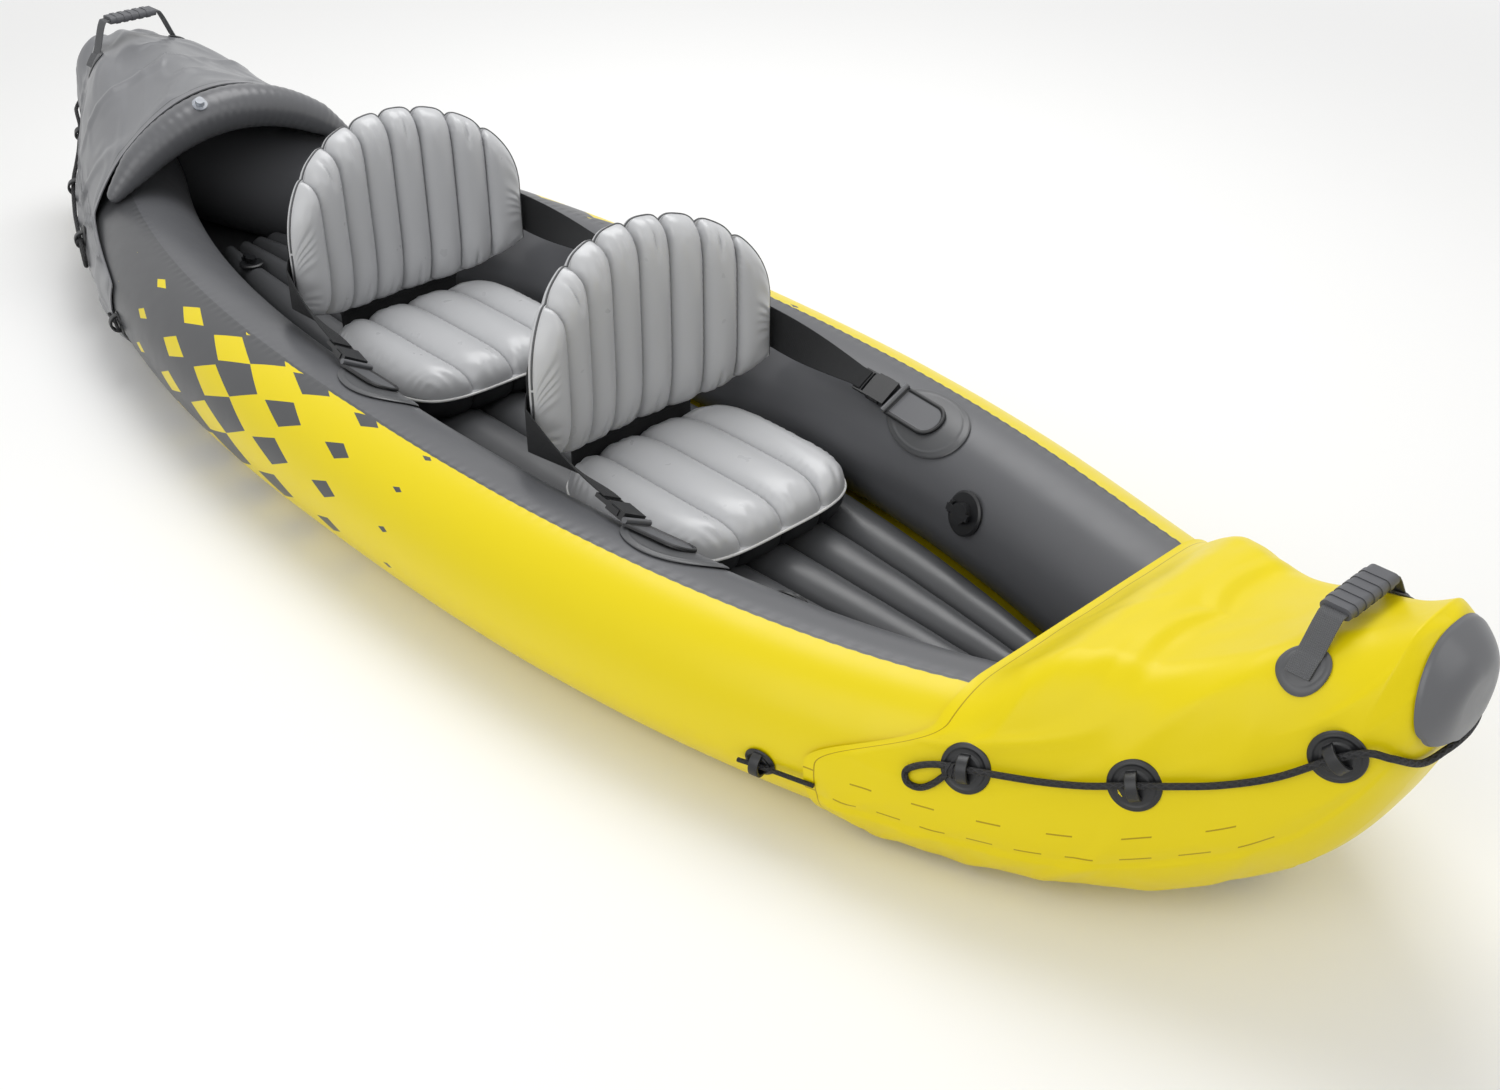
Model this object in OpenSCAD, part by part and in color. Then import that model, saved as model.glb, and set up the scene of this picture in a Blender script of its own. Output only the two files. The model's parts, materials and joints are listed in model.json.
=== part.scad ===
// Two-seat inflatable kayak, as its separate chambers, covers, seats and fittings.
// +X runs to the bow, +Y to port and +Z up, in millimetres. The origin is under the middle of the bottom.

/* [Hull] */
// Overall length over the two nose patches
hull_length = 3120; // [3000:10:3240]
// Overall beam over the two side chambers
hull_beam = 910; // [890:5:950]
// Diameter of a side chamber amidships
chamber_dia = 230; // [222:1:238]
// Fullness of the bow in plan, as a power
bow_fullness = 2.6; // [2.4:0.1:2.8]
// Fullness of the stern in plan, as a power
stern_fullness = 2.3; // [2.1:0.1:2.5]
// Rise of the bottom at the bow
forefoot_rise = 160; // [140:5:180]
// Rise of the chamber tops at the bow
bow_sheer = 222; // [205:1:240]
// Rise of the bottom at the stern
heel_rise = 120; // [105:5:135]
// Rise of the chamber tops at the stern
stern_sheer = 150; // [140:5:165]
// Height of the bow tip
bow_nose_z = 380; // [360:5:400]
// Height of the stern tip
stern_nose_z = 290; // [280:5:305]
// Bluntness of the bow tip, as a power
bow_bluntness = 2.6; // [2.2:0.1:2.8]
// Share of a chamber's width that is lost towards the bow
bow_taper = 0.15; // [0.1:0.01:0.2]
// Share of a chamber's width that is lost towards the stern
stern_taper = 0.4; // [0.35:0.01:0.45]
// Length of the rounded end of a chamber
end_round = 105; // [90:5:120]
// Half length of the flat middle of the bottom
flat_half = 450; // [350:10:550]
// Thickness of the bottom panel
panel_t = 2; // [1.5:0.1:3]

/* [Floor mat] */
// Height of the floor mat
mat_height = 73; // [60:1:80]
// Number of lengthwise beams in the floor mat
mat_beams = 5; // [3:2:7]
// Distance from a chamber's centre line to the mat's edge
mat_inset = 112; // [108:1:125]
// Front end of the floor mat
mat_front = 1070; // [1000:10:1090]
// Back end of the floor mat
mat_back = -1040; // [-1060:10:-950]

/* [Covers] */
// Thickness of a cover's vinyl
cover_t = 2.5; // [2:0.1:3]
// Distance from the bow tip to the bow cover's back edge
bow_cover_reach = 468; // [440:2:500]
// Extra length of the bow cover's side flaps
bow_flap = 127; // [90:1:160]
// Height of the ridge on the bow cover above the chambers
ridge_lift = 58; // [56:1:70]
// Height of the inflated roll inside the ridge
bolster_h = 34; // [28:1:36]
// Distance from the bow tip to the ridge
ridge_inset = 355; // [345:1:365]
// Extra length of the stern cover's side flaps
stern_flap = 231; // [180:1:250]
// Height of the stern deck
stern_deck_z = 410; // [395:1:425]
// Thickness of the nose patches
patch_t = 2.8; // [2:0.1:4]
// Length of the wear patch under the bow
wear_len = 220; // [150:5:230]
// Width of the wear patch under the bow
wear_w = 120; // [80:5:150]

/* [Coaming] */
// Distance from the stern tip to the coaming
coaming_inset = 590; // [570:5:620]
// Diameter of the coaming tube at its middle
coaming_dia = 85; // [75:1:95]
// Diameter of the coaming tube at its ends
coaming_end_dia = 24; // [20:1:28]
// Height of the top of the coaming
coaming_top = 385; // [370:1:400]

/* [Seats] */
// Position of the front backrest's hinge
front_seat_x = 235; // [225:1:245]
// Distance between the two seats
seat_pitch = 645; // [630:5:660]
// Length of a seat cushion
cushion_len = 340; // [320:5:350]
// Width of a seat cushion
cushion_w = 360; // [320:5:370]
// Height of a seat cushion over the floor mat
cushion_h = 90; // [80:1:92]
// Number of channels in a cushion
cushion_channels = 4; // [3:1:6]
// Height of a backrest
back_h = 326; // [310:2:340]
// Half width of a backrest
back_half_w = 230; // [220:1:234]
// Angle over which a backrest wraps on each side
back_wrap = 32; // [28:1:34]
// Depth of a backrest's channels in front of its seam
back_puff = 44; // [36:1:46]
// Number of channels in a backrest
back_channels = 8; // [6:2:10]
// Thickness of the welded rims of cushions and backrests
rim_t = 6; // [4:0.5:8]
// Thickness of the backrest sleeve
sleeve_t = 2.4; // [1.5:0.1:3]
// Diameter of the rolled hem that hinges a backrest
hem_dia = 10; // [8:0.5:11]
// Length of the rolled hem
hem_len = 240; // [200:5:260]

/* [Seat straps] */
// Width of the webbing at the buckle
web_w = 34; // [25:1:38]
// Width of the webbing where it is sewn to the sleeve
web_root_w = 70; // [50:1:80]
// Thickness of the webbing
web_t = 2.2; // [1.5:0.1:3]
// Distance from a backrest's hinge to the strap's anchor
anchor_reach = 385; // [375:1:395]
// Place of the anchors round the chamber, in degrees from the outer side
anchor_angle = 120; // [112:1:126]
// Length of an anchor patch
anchor_len = 160; // [130:5:180]
// Width of an anchor patch
anchor_w = 110; // [90:5:120]
// Length of the vinyl tab
tab_len = 100; // [80:2:110]
// Width of the vinyl tab
tab_w = 56; // [48:1:64]
// Width of a buckle
buckle_w = 42; // [38:1:48]
// Length of a buckle's socket
buckle_len = 36; // [32:1:42]
// Height of a buckle's socket
buckle_h = 13; // [12:0.5:16]
// Travel of a buckle's squeeze tangs
tang_travel = 2.8; // [2:0.1:3]

/* [Rope gear] */
// Diameter of the grab ropes
rope_dia = 8; // [6:0.5:9]
// Diameter of a rope holder's base
holder_dia = 60; // [50:1:64]
// Diameter of a lace holder's base
lace_holder_dia = 42; // [36:1:48]
// Diameter of the laces
lace_dia = 6; // [4:0.5:7]

/* [Carry handles] */
// Distance from the bow tip to the bow handle
bow_handle_inset = 143; // [138:1:150]
// Distance from the stern tip to the stern handle
stern_handle_inset = 240; // [225:1:260]
// Height of the bow grip over the deck
bow_grip_rise = 28; // [26:1:36]
// Height of the stern grip over the deck
stern_grip_rise = 42; // [40:1:50]
// Half distance between a handle's two discs
handle_half = 92; // [84:1:100]
// Diameter of a handle disc
disc_dia = 56; // [46:1:60]
// Length of the rubber grip
grip_len = 96; // [80:1:110]
// Width of the rubber grip
grip_w = 36; // [32:1:40]
// Thickness of the rubber grip
grip_t = 14; // [11:0.5:15]
// Width of the handle webbing
handle_web_w = 28; // [20:1:30]

/* [Valves] */
// Distance from the bow tip to the main valves
valve_inset = 795; // [760:5:820]
// Place of the main valves round the chamber, in degrees from the outer side
valve_angle = 161; // [150:1:165]
// Diameter of a main valve's flange
flange_dia = 66; // [60:1:72]
// Diameter of a main valve's bore
valve_bore = 22; // [18:0.5:24]
// Position of the floor valve along the boat
floor_valve_x = -870; // [-900:5:-820]
// Diameter of the floor valve's flange
floor_flange = 48; // [44:1:52]
// Diameter of the floor valve's bore
floor_bore = 14; // [12:0.5:15]
// Diameter of a stem valve's flange
stem_flange = 28; // [24:1:32]
// Travel of a stem valve's stopper
stopper_travel = 12; // [8:1:14]

/* [Hidden] */
$fn = 48;

yellow = [0.96, 0.84, 0.05];
hull_grey = [0.42, 0.42, 0.43];
seat_grey = [0.74, 0.74, 0.75];
dark_grey = [0.27, 0.27, 0.28];
black = [0.08, 0.08, 0.08];

// Clearance between pieces that lie on each other
gap = 0.4;
// Clearance of the covers over the chambers, which have flat facets
cover_gap = 2.5;
half_len = hull_length / 2;
chamber_r = chamber_dia / 2;
skin_off = cover_gap + cover_t;
nose_off = skin_off + 2.7;
chamber_end = half_len - nose_off - patch_t;
cap_start = chamber_end - end_round;
rise_end = half_len - 60;
taper_start = half_len - 360;
taper_len = 320;
panel_gap = 0.8;
base_z = panel_t + panel_gap;
bow_meet = half_len - 66;
stern_meet = half_len - 128;
least_side_y = 15;
bow_edge = half_len - bow_cover_reach;
ridge_x = half_len - ridge_inset;
coaming_x = coaming_inset - half_len;
coaming_proud = 8;
coaming_gap = 1.6;
stern_edge = coaming_x - sqrt(coaming_proud * (coaming_dia - coaming_proud)) - coaming_gap;
nose_edge = half_len - 30;

// Blend from 0 to 1 that starts and ends flat
function smooth(t) = let (c = min(1, max(0, t))) c * c * (3 - 2 * c);
function mix(a, b, t) = a + (b - a) * t;
function unit(v) = v / norm(v);
function mean(list) = [for (p = list) 1] * list / len(list);
function reversed(list) = [for (i = [len(list) - 1:-1:0]) list[i]];
function mirrored(list) = [for (p = list) [p.x, -p.y, p.z]];

// Hull form: centre line, half width, middle height and half height of the port chamber at x
function run(x) = max(0, (abs(x) - flat_half) / (rise_end - flat_half));
function low_z(x) = base_z + (x > 0 ? forefoot_rise : heel_rise) * pow(run(x), 8.4);
function high_z(x) = base_z + chamber_dia + (x > 0 ? bow_sheer : stern_sheer) * pow(min(1, run(x)), 6.1);
function cap(x) = let (a = (abs(x) - cap_start) / end_round, power = x > 0 ? bow_bluntness : 2)
    a <= 0 ? 1 : pow(max(0.0004, 1 - pow(a, power)), 1 / power);
function tip_z(x) = x > 0 ? bow_nose_z : stern_nose_z;
function mid_z(x) = mix(tip_z(x), (low_z(x) + high_z(x)) / 2, cap(x));
function half_h(x) = (high_z(x) - low_z(x)) / 2 * cap(x);
function half_w(x) = let (taper = x > 0 ? bow_taper : stern_taper)
    chamber_r * (1 - taper * smooth((abs(x) - taper_start) / taper_len)) * cap(x);
function side_y(x) = let (
    meet = x > 0 ? bow_meet : stern_meet,
    fullness = x > 0 ? bow_fullness : stern_fullness,
    y = (hull_beam / 2 - chamber_r) * (1 - pow(abs(x) / meet, fullness))
) (y + sqrt(y * y + 4 * least_side_y * least_side_y)) / 2;
function side_slope(x) = atan((side_y(x + 5) - side_y(x - 5)) / 10);

// Point on the port chamber at angle a, from the outer side up, off the skin by off
function shell(x, a, off = 0) = [
    x,
    side_y(x) + (half_w(x) + off) * cos(a),
    mid_z(x) + (half_h(x) + off) * sin(a)
];

// Height that the covers stand over the chambers at x, and its spread round the chamber and the deck
deck_share = 0.7;
deck_end = half_len - 170;
function bow_lift(x) = ridge_lift * smooth((x - bow_edge) / 100)
    * mix(1, deck_share, smooth((x - ridge_x - 5) / 70)) * (1 - smooth((x - deck_end) / 110));
function stern_line(x) = mix(coaming_top, stern_deck_z, smooth((stern_edge - x) / 300));
function stern_lift(x) = max(0, stern_line(x) - high_z(x)) * smooth((stern_edge + 176 - x) / 176)
    * (1 - smooth((half_len - 180 + x) / -100));
function lift(x) = x > 0 ? bow_lift(x) : stern_lift(x);
// The stern cover is round like an arch at the coaming, and flatter behind it
function flatness(x) = x > 0 ? 1 : smooth((stern_edge - x) / 300);
function shoulder(x) = x > 0 ? 0.97 : mix(0.5, 0.9, flatness(x));
function spread(a) = smooth((a - 15) / 75);
function arch(a) = 1 - cos(90 * min(1, max(0, (a - 15) / 75)));

// Point on the cover over the port chamber, and on the deck between the chambers
function skin(x, a, off = 0) = shell(x, a, off)
    + [0, 0, lift(x) * shoulder(x) * mix(arch(a), spread(a), flatness(x))];
function deck(x, f, off = 0) = [
    x,
    f * side_y(x),
    mid_z(x) + half_h(x) + off
        + lift(x) * mix(shoulder(x), 1, mix(1 - f * f, (1 + cos(180 * f)) / 2, flatness(x)))
];
// Height of the covered boat at any x and y
function top_z(x, y, off = 0) = abs(y) <= side_y(x)
    ? deck(x, y / side_y(x), off).z
    : skin(x, acos((abs(y) - side_y(x)) / (half_w(x) + off)), off).z;

function quad(a, b, c, d) = [[a, b, c], [a, c, d]];

// Solid with a skin over rings of equal count; a strip closes flat rings, a fan closes round ones
module loft(rings, strip = false) {
    n = len(rings[0]);
    m = len(rings);
    sides = [
        for (i = [0:m - 2], j = [0:n - 1]) let (
            k = (j + 1) % n,
            a = i * n + j,
            b = i * n + k,
            c = (i + 1) * n + k,
            d = (i + 1) * n + j
        ) each (strip && j >= n / 2 ? quad(b, c, d, a) : quad(a, b, c, d))
    ];
    first = strip
        ? [for (j = [0:n / 2 - 2]) each quad(j + 1, j, n - 1 - j, n - 2 - j)]
        : [for (j = [0:n - 1]) [m * n, (j + 1) % n, j]];
    e = (m - 1) * n;
    last = strip
        ? [for (j = [0:n / 2 - 2]) each quad(e + j, e + j + 1, e + n - 2 - j, e + n - 1 - j)]
        : [for (j = [0:n - 1]) [m * n + 1, e + j, e + (j + 1) % n]];
    points = concat([for (r = rings) each r], strip ? [] : [mean(rings[0]), mean(rings[m - 1])]);
    polyhedron(points = points, faces = concat(sides, first, last));
}

// Closed ring from an upper and a lower row of points
function band(upper, lower) = concat(upper, reversed(lower));

// Round ring of the given radius about point p, square to direction d
function ring(p, d, r, sides) = let (
    u = unit(cross(d, abs(unit(d).x) < 0.9 ? [1, 0, 0] : [0, 0, 1])),
    v = unit(cross(d, u))
) [for (i = [0:sides - 1]) p + r * (u * cos(360 * i / sides) - v * sin(360 * i / sides))];

// Round tube along a list of points
// Rings along a path: the first ring's cross direction is carried along, so that none of them twists
function carried_rings(path, r, sides) = let (
    last = len(path) - 1,
    ways = [for (i = [0:last]) unit(path[min(last, i + 1)] - path[max(0, i - 1)])],
    start = unit(cross(ways[0], [0, 0, 1]))
) [
    for (i = 0, u = start; i <= last; i = i + 1, u = i > last ? u : unit(u - (u * ways[i]) * ways[i]))
        let (v = cross(ways[i], u))
            [for (j = [0:sides - 1]) path[i] + r * (u * cos(360 * j / sides) - v * sin(360 * j / sides))]
];

module cord(path, r, sides = 8) {
    loft(carried_rings(path, r, sides));
}

// Puts children at point p with local x along d and local y near w
module along(p, d, w) {
    ex = unit(d);
    ez = unit(cross(ex, w));
    ey = cross(ez, ex);
    multmatrix([
        [ex.x, ey.x, ez.x, p.x],
        [ex.y, ey.y, ez.y, p.y],
        [ex.z, ey.z, ez.z, p.z],
        [0, 0, 0, 1]
    ]) children();
}

// Puts children on a chamber with local x along the boat and local z off the skin; side is 1 to port
module on_side(side, p, a) {
    mirror([0, side > 0 ? 0 : 1, 0])
        translate(p)
            rotate([0, 0, side_slope(p.x)])
                rotate([a - 90, 0, 0])
                    children();
}

// The same on the cover, square to its own slope
module on_skin(side, x, a, off) {
    mirror([0, side > 0 ? 0 : 1, 0])
        along(skin(x, a, off), skin(x + 4, a) - skin(x - 4, a), skin(x, a - 3) - skin(x, a + 3))
            children();
}

// Side chambers
inner_stations = [for (i = [-13:13]) let (f = i / 13) cap_start * (1.5 * f - 0.5 * f * f * f)];
cap_stations = [for (t = [20, 40, 60, 78]) cap_start + end_round * sin(t)];
stations = concat(reversed(-cap_stations), inner_stations, cap_stations);
chamber_angles = [0:-15:-345];

module side_chamber(side) {
    rings = [
        for (x = stations) [
            for (a = chamber_angles) let (p = shell(x, a)) [p.x, max(gap / 2, p.y), p.z]
        ]
    ];
    mirror([0, side > 0 ? 0 : 1, 0])
        loft(rings);
}

module port_side_chamber() {
    color(yellow) side_chamber(1);
}

module starboard_side_chamber() {
    color(yellow) side_chamber(-1);
}

// Bottom panel: flat between the chambers and lapped up round the outside of both
function panel_row(x, off) = let (
    half = [for (a = [-90, -75, -60]) shell(x, a, off)]
) concat(reversed(mirrored(half)), [[x, 0, half[0].z]], half);

module hull_bottom() {
    color(yellow)
        loft([for (x = inner_stations) band(panel_row(x, panel_gap), panel_row(x, base_z))], strip = true);
}

// Floor mat: a row of beams with a crown each
beam_steps = 5;
function beam_crown(w) = 0.55 + 0.45 * sqrt(max(0, 1 - w * w));
floor_top = base_z + mat_height * beam_crown(1 / beam_steps);
function mat_half(x) = side_y(x) - mat_inset;
function mat_end(x) = 0.35 + 0.65 * smooth(min(mat_front - x, x - mat_back) / 60);
mat_columns = [for (i = [0:mat_beams * beam_steps]) i / beam_steps];
mat_stations = [for (i = [0:13]) let (f = 2 * i / 13 - 1)
    mix(mat_back, mat_front, (1 + 1.5 * f - 0.5 * f * f * f) / 2)];

module floor_mat() {
    rings = [
        for (x = mat_stations) let (
            ys = [for (c = mat_columns) mat_half(x) * (2 * c / mat_beams - 1)],
            up = mat_height * mat_end(x)
        ) band(
            [for (i = [0:len(ys) - 1]) let (w = 2 * (mat_columns[i] - floor(mat_columns[i])) - 1)
                [x, ys[i], base_z + up * beam_crown(w)]],
            [for (y = ys) [x, y, low_z(x) + gap / 2]]
        )
    ];
    color(dark_grey) loft(rings, strip = true);
}

// Covers: sheets that run from a swept edge to the nose and down both sides to a hem
cover_angles = [for (i = [0:10]) i < 10 ? 90 - 15 * i : -55];
cover_fractions = [0, 0.25, 0.5, 0.75];
cover_rows = 14;
function edge_x(end, a) = end > 0
    ? mix(bow_edge - bow_flap, bow_edge, smooth((a - 5) / 45))
    : mix(stern_edge + stern_flap, stern_edge, smooth((a - 22) / 20));
function cover_x(end, a, u) = mix(edge_x(end, a), end * nose_edge, u);
function cover_row(end, u, off) = let (
    middle = [for (f = cover_fractions) deck(cover_x(end, 90, u), f, off)],
    half = [for (a = cover_angles) skin(cover_x(end, a, u), a, off)],
    port = concat(middle, half),
    starboard = mirrored(reversed([for (i = [1:len(port) - 1]) port[i]]))
) concat(starboard, port);

module cover(end) {
    rings = [
        for (i = [0:cover_rows - 1]) let (u = 1 - pow(1 - i / (cover_rows - 1), 1.5))
            band(cover_row(end, u, skin_off), cover_row(end, u, cover_gap))
    ];
    loft(end > 0 ? rings : reversed(rings), strip = true);
}

module bow_cover() {
    color(yellow) cover(1);
}

module stern_cover() {
    color(hull_grey) cover(-1);
}

// Stern coaming: an arched tube that thins towards its seats on the chambers
coaming_seat_angle = 54;
coaming_steps = 18;
coaming_sides = 16;
coaming_deck = 0.6;
function coaming_r(q) = mix(coaming_dia, coaming_end_dia, q * q) / 2;
// The tube's centre line keeps under the front edge of the cover
function coaming_under(q, off) = q < coaming_deck
    ? deck(stern_edge, q / coaming_deck, off)
    : skin(stern_edge, mix(90, coaming_seat_angle, (q - coaming_deck) / (1 - coaming_deck)), off);
function coaming_point(q) = let (p = coaming_under(abs(q), coaming_proud - coaming_r(q)))
    [coaming_x, sign(q) * p.y, p.z];

module stern_coaming() {
    color(hull_grey)
        loft([
            for (i = [0:coaming_steps]) let (q = 2 * i / coaming_steps - 1, dq = 0.02)
                ring(
                    coaming_point(q), coaming_point(q + dq) - coaming_point(q - dq),
                    coaming_r(q), coaming_sides
                )
        ]);
}

// Splash bolster: an inflated roll across the chambers, under the ridge of the bow cover
bolster_half = 50;
bolster_rim = 1;
bolster_seat = 2.3;
bolster_angles = [75, 60, 50, 40];
function bolster_row(x, up) = let (
    off = bolster_seat,
    middle = [for (f = [0:0.25:1]) [x, f * side_y(x), mid_z(x) + half_h(x) + off + up]],
    half = [
        for (a = bolster_angles)
            shell(x, a, off) + [0, 0, 0.6 * up * spread(a) + (up > 0 ? bolster_rim : 0)]
    ],
    port = concat(middle, half),
    starboard = mirrored(reversed([for (i = [1:len(port) - 1]) port[i]]))
) concat(starboard, port);

module bow_splash_bolster() {
    color(yellow)
        loft([
            for (i = [0:8]) let (
                t = 180 * i / 8,
                x = ridge_x - bolster_half * cos(t),
                up = bolster_rim + (bolster_h - bolster_rim) * sin(t)
            ) band(bolster_row(x, up), bolster_row(x, 0))
        ], strip = true);
}

// Nose patches: domes over the joined chamber ends
nose_sides = 24;
function nose_ring(end, u, off) = [
    for (i = [0:nose_sides - 1]) let (
        a = 360 * i / nose_sides,
        start = 62 - 26 * max(0, sin(a)) - 22 * min(0, sin(a)),
        t = mix(start, 86, u),
        x = end * (cap_start + end_round * sin(t))
    ) [
        x + end * off * smooth((t - 45) / 40),
        side_y(x) * sign(cos(a)) + (half_w(x) + off) * cos(a),
        mid_z(x) + (half_h(x) + off) * sin(a)
    ]
];

module nose_patch(end) {
    steps = [0:1 / 3:1];
    rings = concat(
        reversed([for (u = steps) nose_ring(end, u, nose_off + patch_t)]),
        [for (u = steps) nose_ring(end, u, nose_off)]
    );
    loft(end > 0 ? rings : reversed(rings));
}

module bow_nose_patch() {
    color(hull_grey) nose_patch(1);
}

module stern_nose_patch() {
    color(hull_grey) nose_patch(-1);
}

// Wear patch: a long oval under the forefoot
wear_x = half_len - 290;
wear_t = 3;

module bow_wear_patch() {
    rings = [
        for (t = [10:16:170]) let (
            x = wear_x - wear_len / 2 * cos(t),
            y = wear_w / 2 * sin(t),
            z = mid_z(x) - half_h(x) - base_z - gap
        ) [[x, -y, z], [x, y, z], [x, y, z - wear_t], [x, -y, z - wear_t]]
    ];
    color(black) loft(rings, strip = true);
}

// Rope holders: a round base with a bridge that the rope runs under
// Each place is x, the angle round the chamber and a packing under the base where the cover is hollow
bridge_r = 15;
bridge_wire = 3.5;
holder_t = 2.4;
bow_holders = [[half_len - 414, 27, 0], [half_len - 246, 25, 0], [half_len - 76, 12, 0]];
stern_holders = [[510 - half_len, 10, -0.4], [320 - half_len, 16, 0], [150 - half_len, 10, 1.9]];
bow_corner = bow_edge - bow_flap;
stern_corner = stern_edge + stern_flap;
lace_holders_at = [[bow_corner - 62, -11, 0], [stern_corner + 26.5, -6, -1.5]];

module holder(dia) {
    cylinder(d = dia, h = holder_t);
    translate([0, 0, holder_t - 0.5])
        rotate([90, 0, 90])
            rotate_extrude(angle = 180)
                translate([bridge_r, 0])
                    circle(r = bridge_wire, $fn = 24);
}

module holders(places, dia, off) {
    color(black)
        for (side = [1, -1], h = places)
            on_skin(side, h[0], h[1], off + gap + h[2])
                holder(dia);
}

module bow_rope_holders() {
    holders(bow_holders, holder_dia, skin_off);
}

module stern_rope_holders() {
    holders(stern_holders, holder_dia, skin_off);
}

module lace_holders() {
    holders(lace_holders_at, lace_holder_dia, 0);
}

// Grab ropes: from a loop at the holder nearest midships, through the holders and round the nose
// A row along the side is the distance from the hull's end, the angle round the chamber and the height off it
// A row round the nose is the distance from the hull's end, from the middle and down from the tip
bow_rope_side = [
    [440, 16, 11.7], [454, 12.7, 10.1], [468, 14.1, 9.6], [472, 19.7, 10.1], [460, 24.1, 11.6],
    [440, 27, 12.5],
    [414, 27, 14.6], [372, 26.6, 14.5], [330, 26, 13], [288, 25.5, 14.2], [246, 25, 14.8],
    [205, 22.5, 13.9], [165, 19, 13.8], [120, 15.3, 15], [76, 12, 14.4], [50, 7, 16], [30, -4, 20]
];
bow_rope_nose = [[15, 60, 61], [7, 26, 58], [5, 0, 57]];
stern_rope_side = [
    [536, -0.5, 13], [550, -3.9, 13.4], [564, -2.4, 12.5], [567, 3.4, 12.6], [554, 8.2, 13],
    [534, 10.1, 13.7],
    [510, 10.2, 14.3], [463, 11.5, 14.3], [415, 12.6, 14.8], [368, 14.1, 14], [320, 15.8, 14.7],
    [277, 14.6, 15.9], [235, 12.8, 16], [192, 11.8, 16.4], [150, 10, 16.8],
    [120, 6.8, 14.5], [80, -2.1, 14.8], [48, -15.2, 18.7]
];
stern_rope_nose = [[23, 47, 45], [10, 17, 43], [8, 0, 43]];
function along_side(end, rows) = [for (r = rows) skin(end * (half_len - r[0]), r[1], r[2])];
function round_nose(end, rows) = [for (r = rows) [end * (half_len - r[0]), r[1], tip_z(end) - r[2]]];
function both_sides(route) = concat(route, reversed(mirrored([for (i = [0:len(route) - 2]) route[i]])));

module bow_grab_rope() {
    route = concat(along_side(1, bow_rope_side), round_nose(1, bow_rope_nose));
    color(black) cord(both_sides(route), rope_dia / 2);
}

module stern_grab_rope() {
    route = concat(along_side(-1, stern_rope_side), round_nose(-1, stern_rope_nose));
    color(black) cord(both_sides(route), rope_dia / 2);
}

// Laces: from a lace holder to the corner of the nearest cover flap
// A row is the distance from the flap's edge to midships, the angle round the chamber and the height off it
function along_flap(corner, way, rows) = [for (r = rows) skin(corner - way * r[0], r[1], r[2])];
bow_lace_rows = [[87, -12.3, 8.3], [62, -11, 8.2], [35, -10.1, 8.1], [10, -9.8, 8.1], [-15, -9.6, 8.3]];
stern_lace_rows = [[52.5, -5.4, 9.9], [26.5, -6, 6.9], [0.5, -6.5, 7.7], [-25.5, -6.9, 8.2]];
bow_lace_route = along_flap(bow_corner, 1, bow_lace_rows);
stern_lace_route = along_flap(stern_corner, -1, stern_lace_rows);

module cover_laces() {
    color(black)
        for (route = [bow_lace_route, stern_lace_route]) {
            cord(route, lace_dia / 2);
            cord(reversed(mirrored(route)), lace_dia / 2);
        }
}

// Carry handles: two discs welded to the cover, a webbing strap and a ridged grip
bow_handle_x = half_len - bow_handle_inset;
stern_handle_x = stern_handle_inset - half_len;
disc_t = 3;
disc_sides = 14;
disc_seat = skin_off + 1.6;
root_seat = disc_seat + disc_t + 1.36;
handle_web_t = 2.4;
ridge_t = 1.2;
function deck_slope(x) = atan((top_z(x + 10, 0) - top_z(x - 10, 0)) / 20);
function over_deck(x, fore, y, up) = [x + fore, y, top_z(x, 0, skin_off) + up];
function disc_ring(x, y, r, off) = [
    for (i = [0:disc_sides - 1]) let (a = 360 * i / disc_sides, px = x + r * cos(a), py = y - r * sin(a))
            [px, py, top_z(px, py, off)]
];
function on_disc(x, fore, y) = let (px = x + fore * cos(deck_slope(x))) [px, y, top_z(px, y, root_seat)];
// Flat ring of a strap: p is its middle, w half its width and n half its thickness
function strap_ring(p, w, n) = [p + w + n, p - w + n, p - w - n, p + w - n];

module handle_discs(x) {
    radii = [disc_dia / 5, disc_dia / 2];
    color(hull_grey)
        for (side = [1, -1])
            loft(concat(
                [for (r = radii) disc_ring(x, side * handle_half, r, disc_seat)],
                [for (r = reversed(radii)) disc_ring(x, side * handle_half, r, disc_seat + disc_t)]
            ));
}

module handle_strap(x, rise) {
    half = handle_web_w / 2;
    up = [0, 0, handle_web_t];
    feet = [
        for (out = [12, 5, -3, -10]) let (
            fore = on_disc(x, half, handle_half + out),
            aft = on_disc(x, -half, handle_half + out)
        ) [fore + up, aft + up, aft, fore]
    ];
    top = [
        for (p = [[grip_len / 2 + 14, rise - 7], [grip_len / 2 + 1, rise]])
            strap_ring(over_deck(x, 0, p[0], p[1]), [half, 0, 0], up / 2)
    ];
    port = concat(feet, top);
    color(dark_grey)
        loft(concat([for (r = port) mirrored(r)], reversed(port)), strip = true);
}

module stadium(w, t) {
    square([w - t, t], center = true);
    for (side = [1, -1])
        translate([side * (w - t) / 2, 0])
            circle(d = t);
}

module handle_grip(x, rise) {
    slot = [handle_web_w + 2 * gap, handle_web_t + 2 * gap];
    color(dark_grey)
        translate(over_deck(x, 0, 0, rise))
            rotate([90, 0, 0])
                difference() {
                    union() {
                        linear_extrude(grip_len, center = true)
                            stadium(grip_w, grip_t);
                        for (i = [-2:2])
                            translate([0, 0, i * grip_len / 6])
                                linear_extrude(grip_len / 12, center = true)
                                    stadium(grip_w + 2 * ridge_t, grip_t + 2 * ridge_t);
                    }
                    linear_extrude(grip_len + 2, center = true)
                        square(slot, center = true);
                }
}

module bow_handle_discs() {
    handle_discs(bow_handle_x);
}

module bow_handle_strap() {
    handle_strap(bow_handle_x, bow_grip_rise);
}

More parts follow.
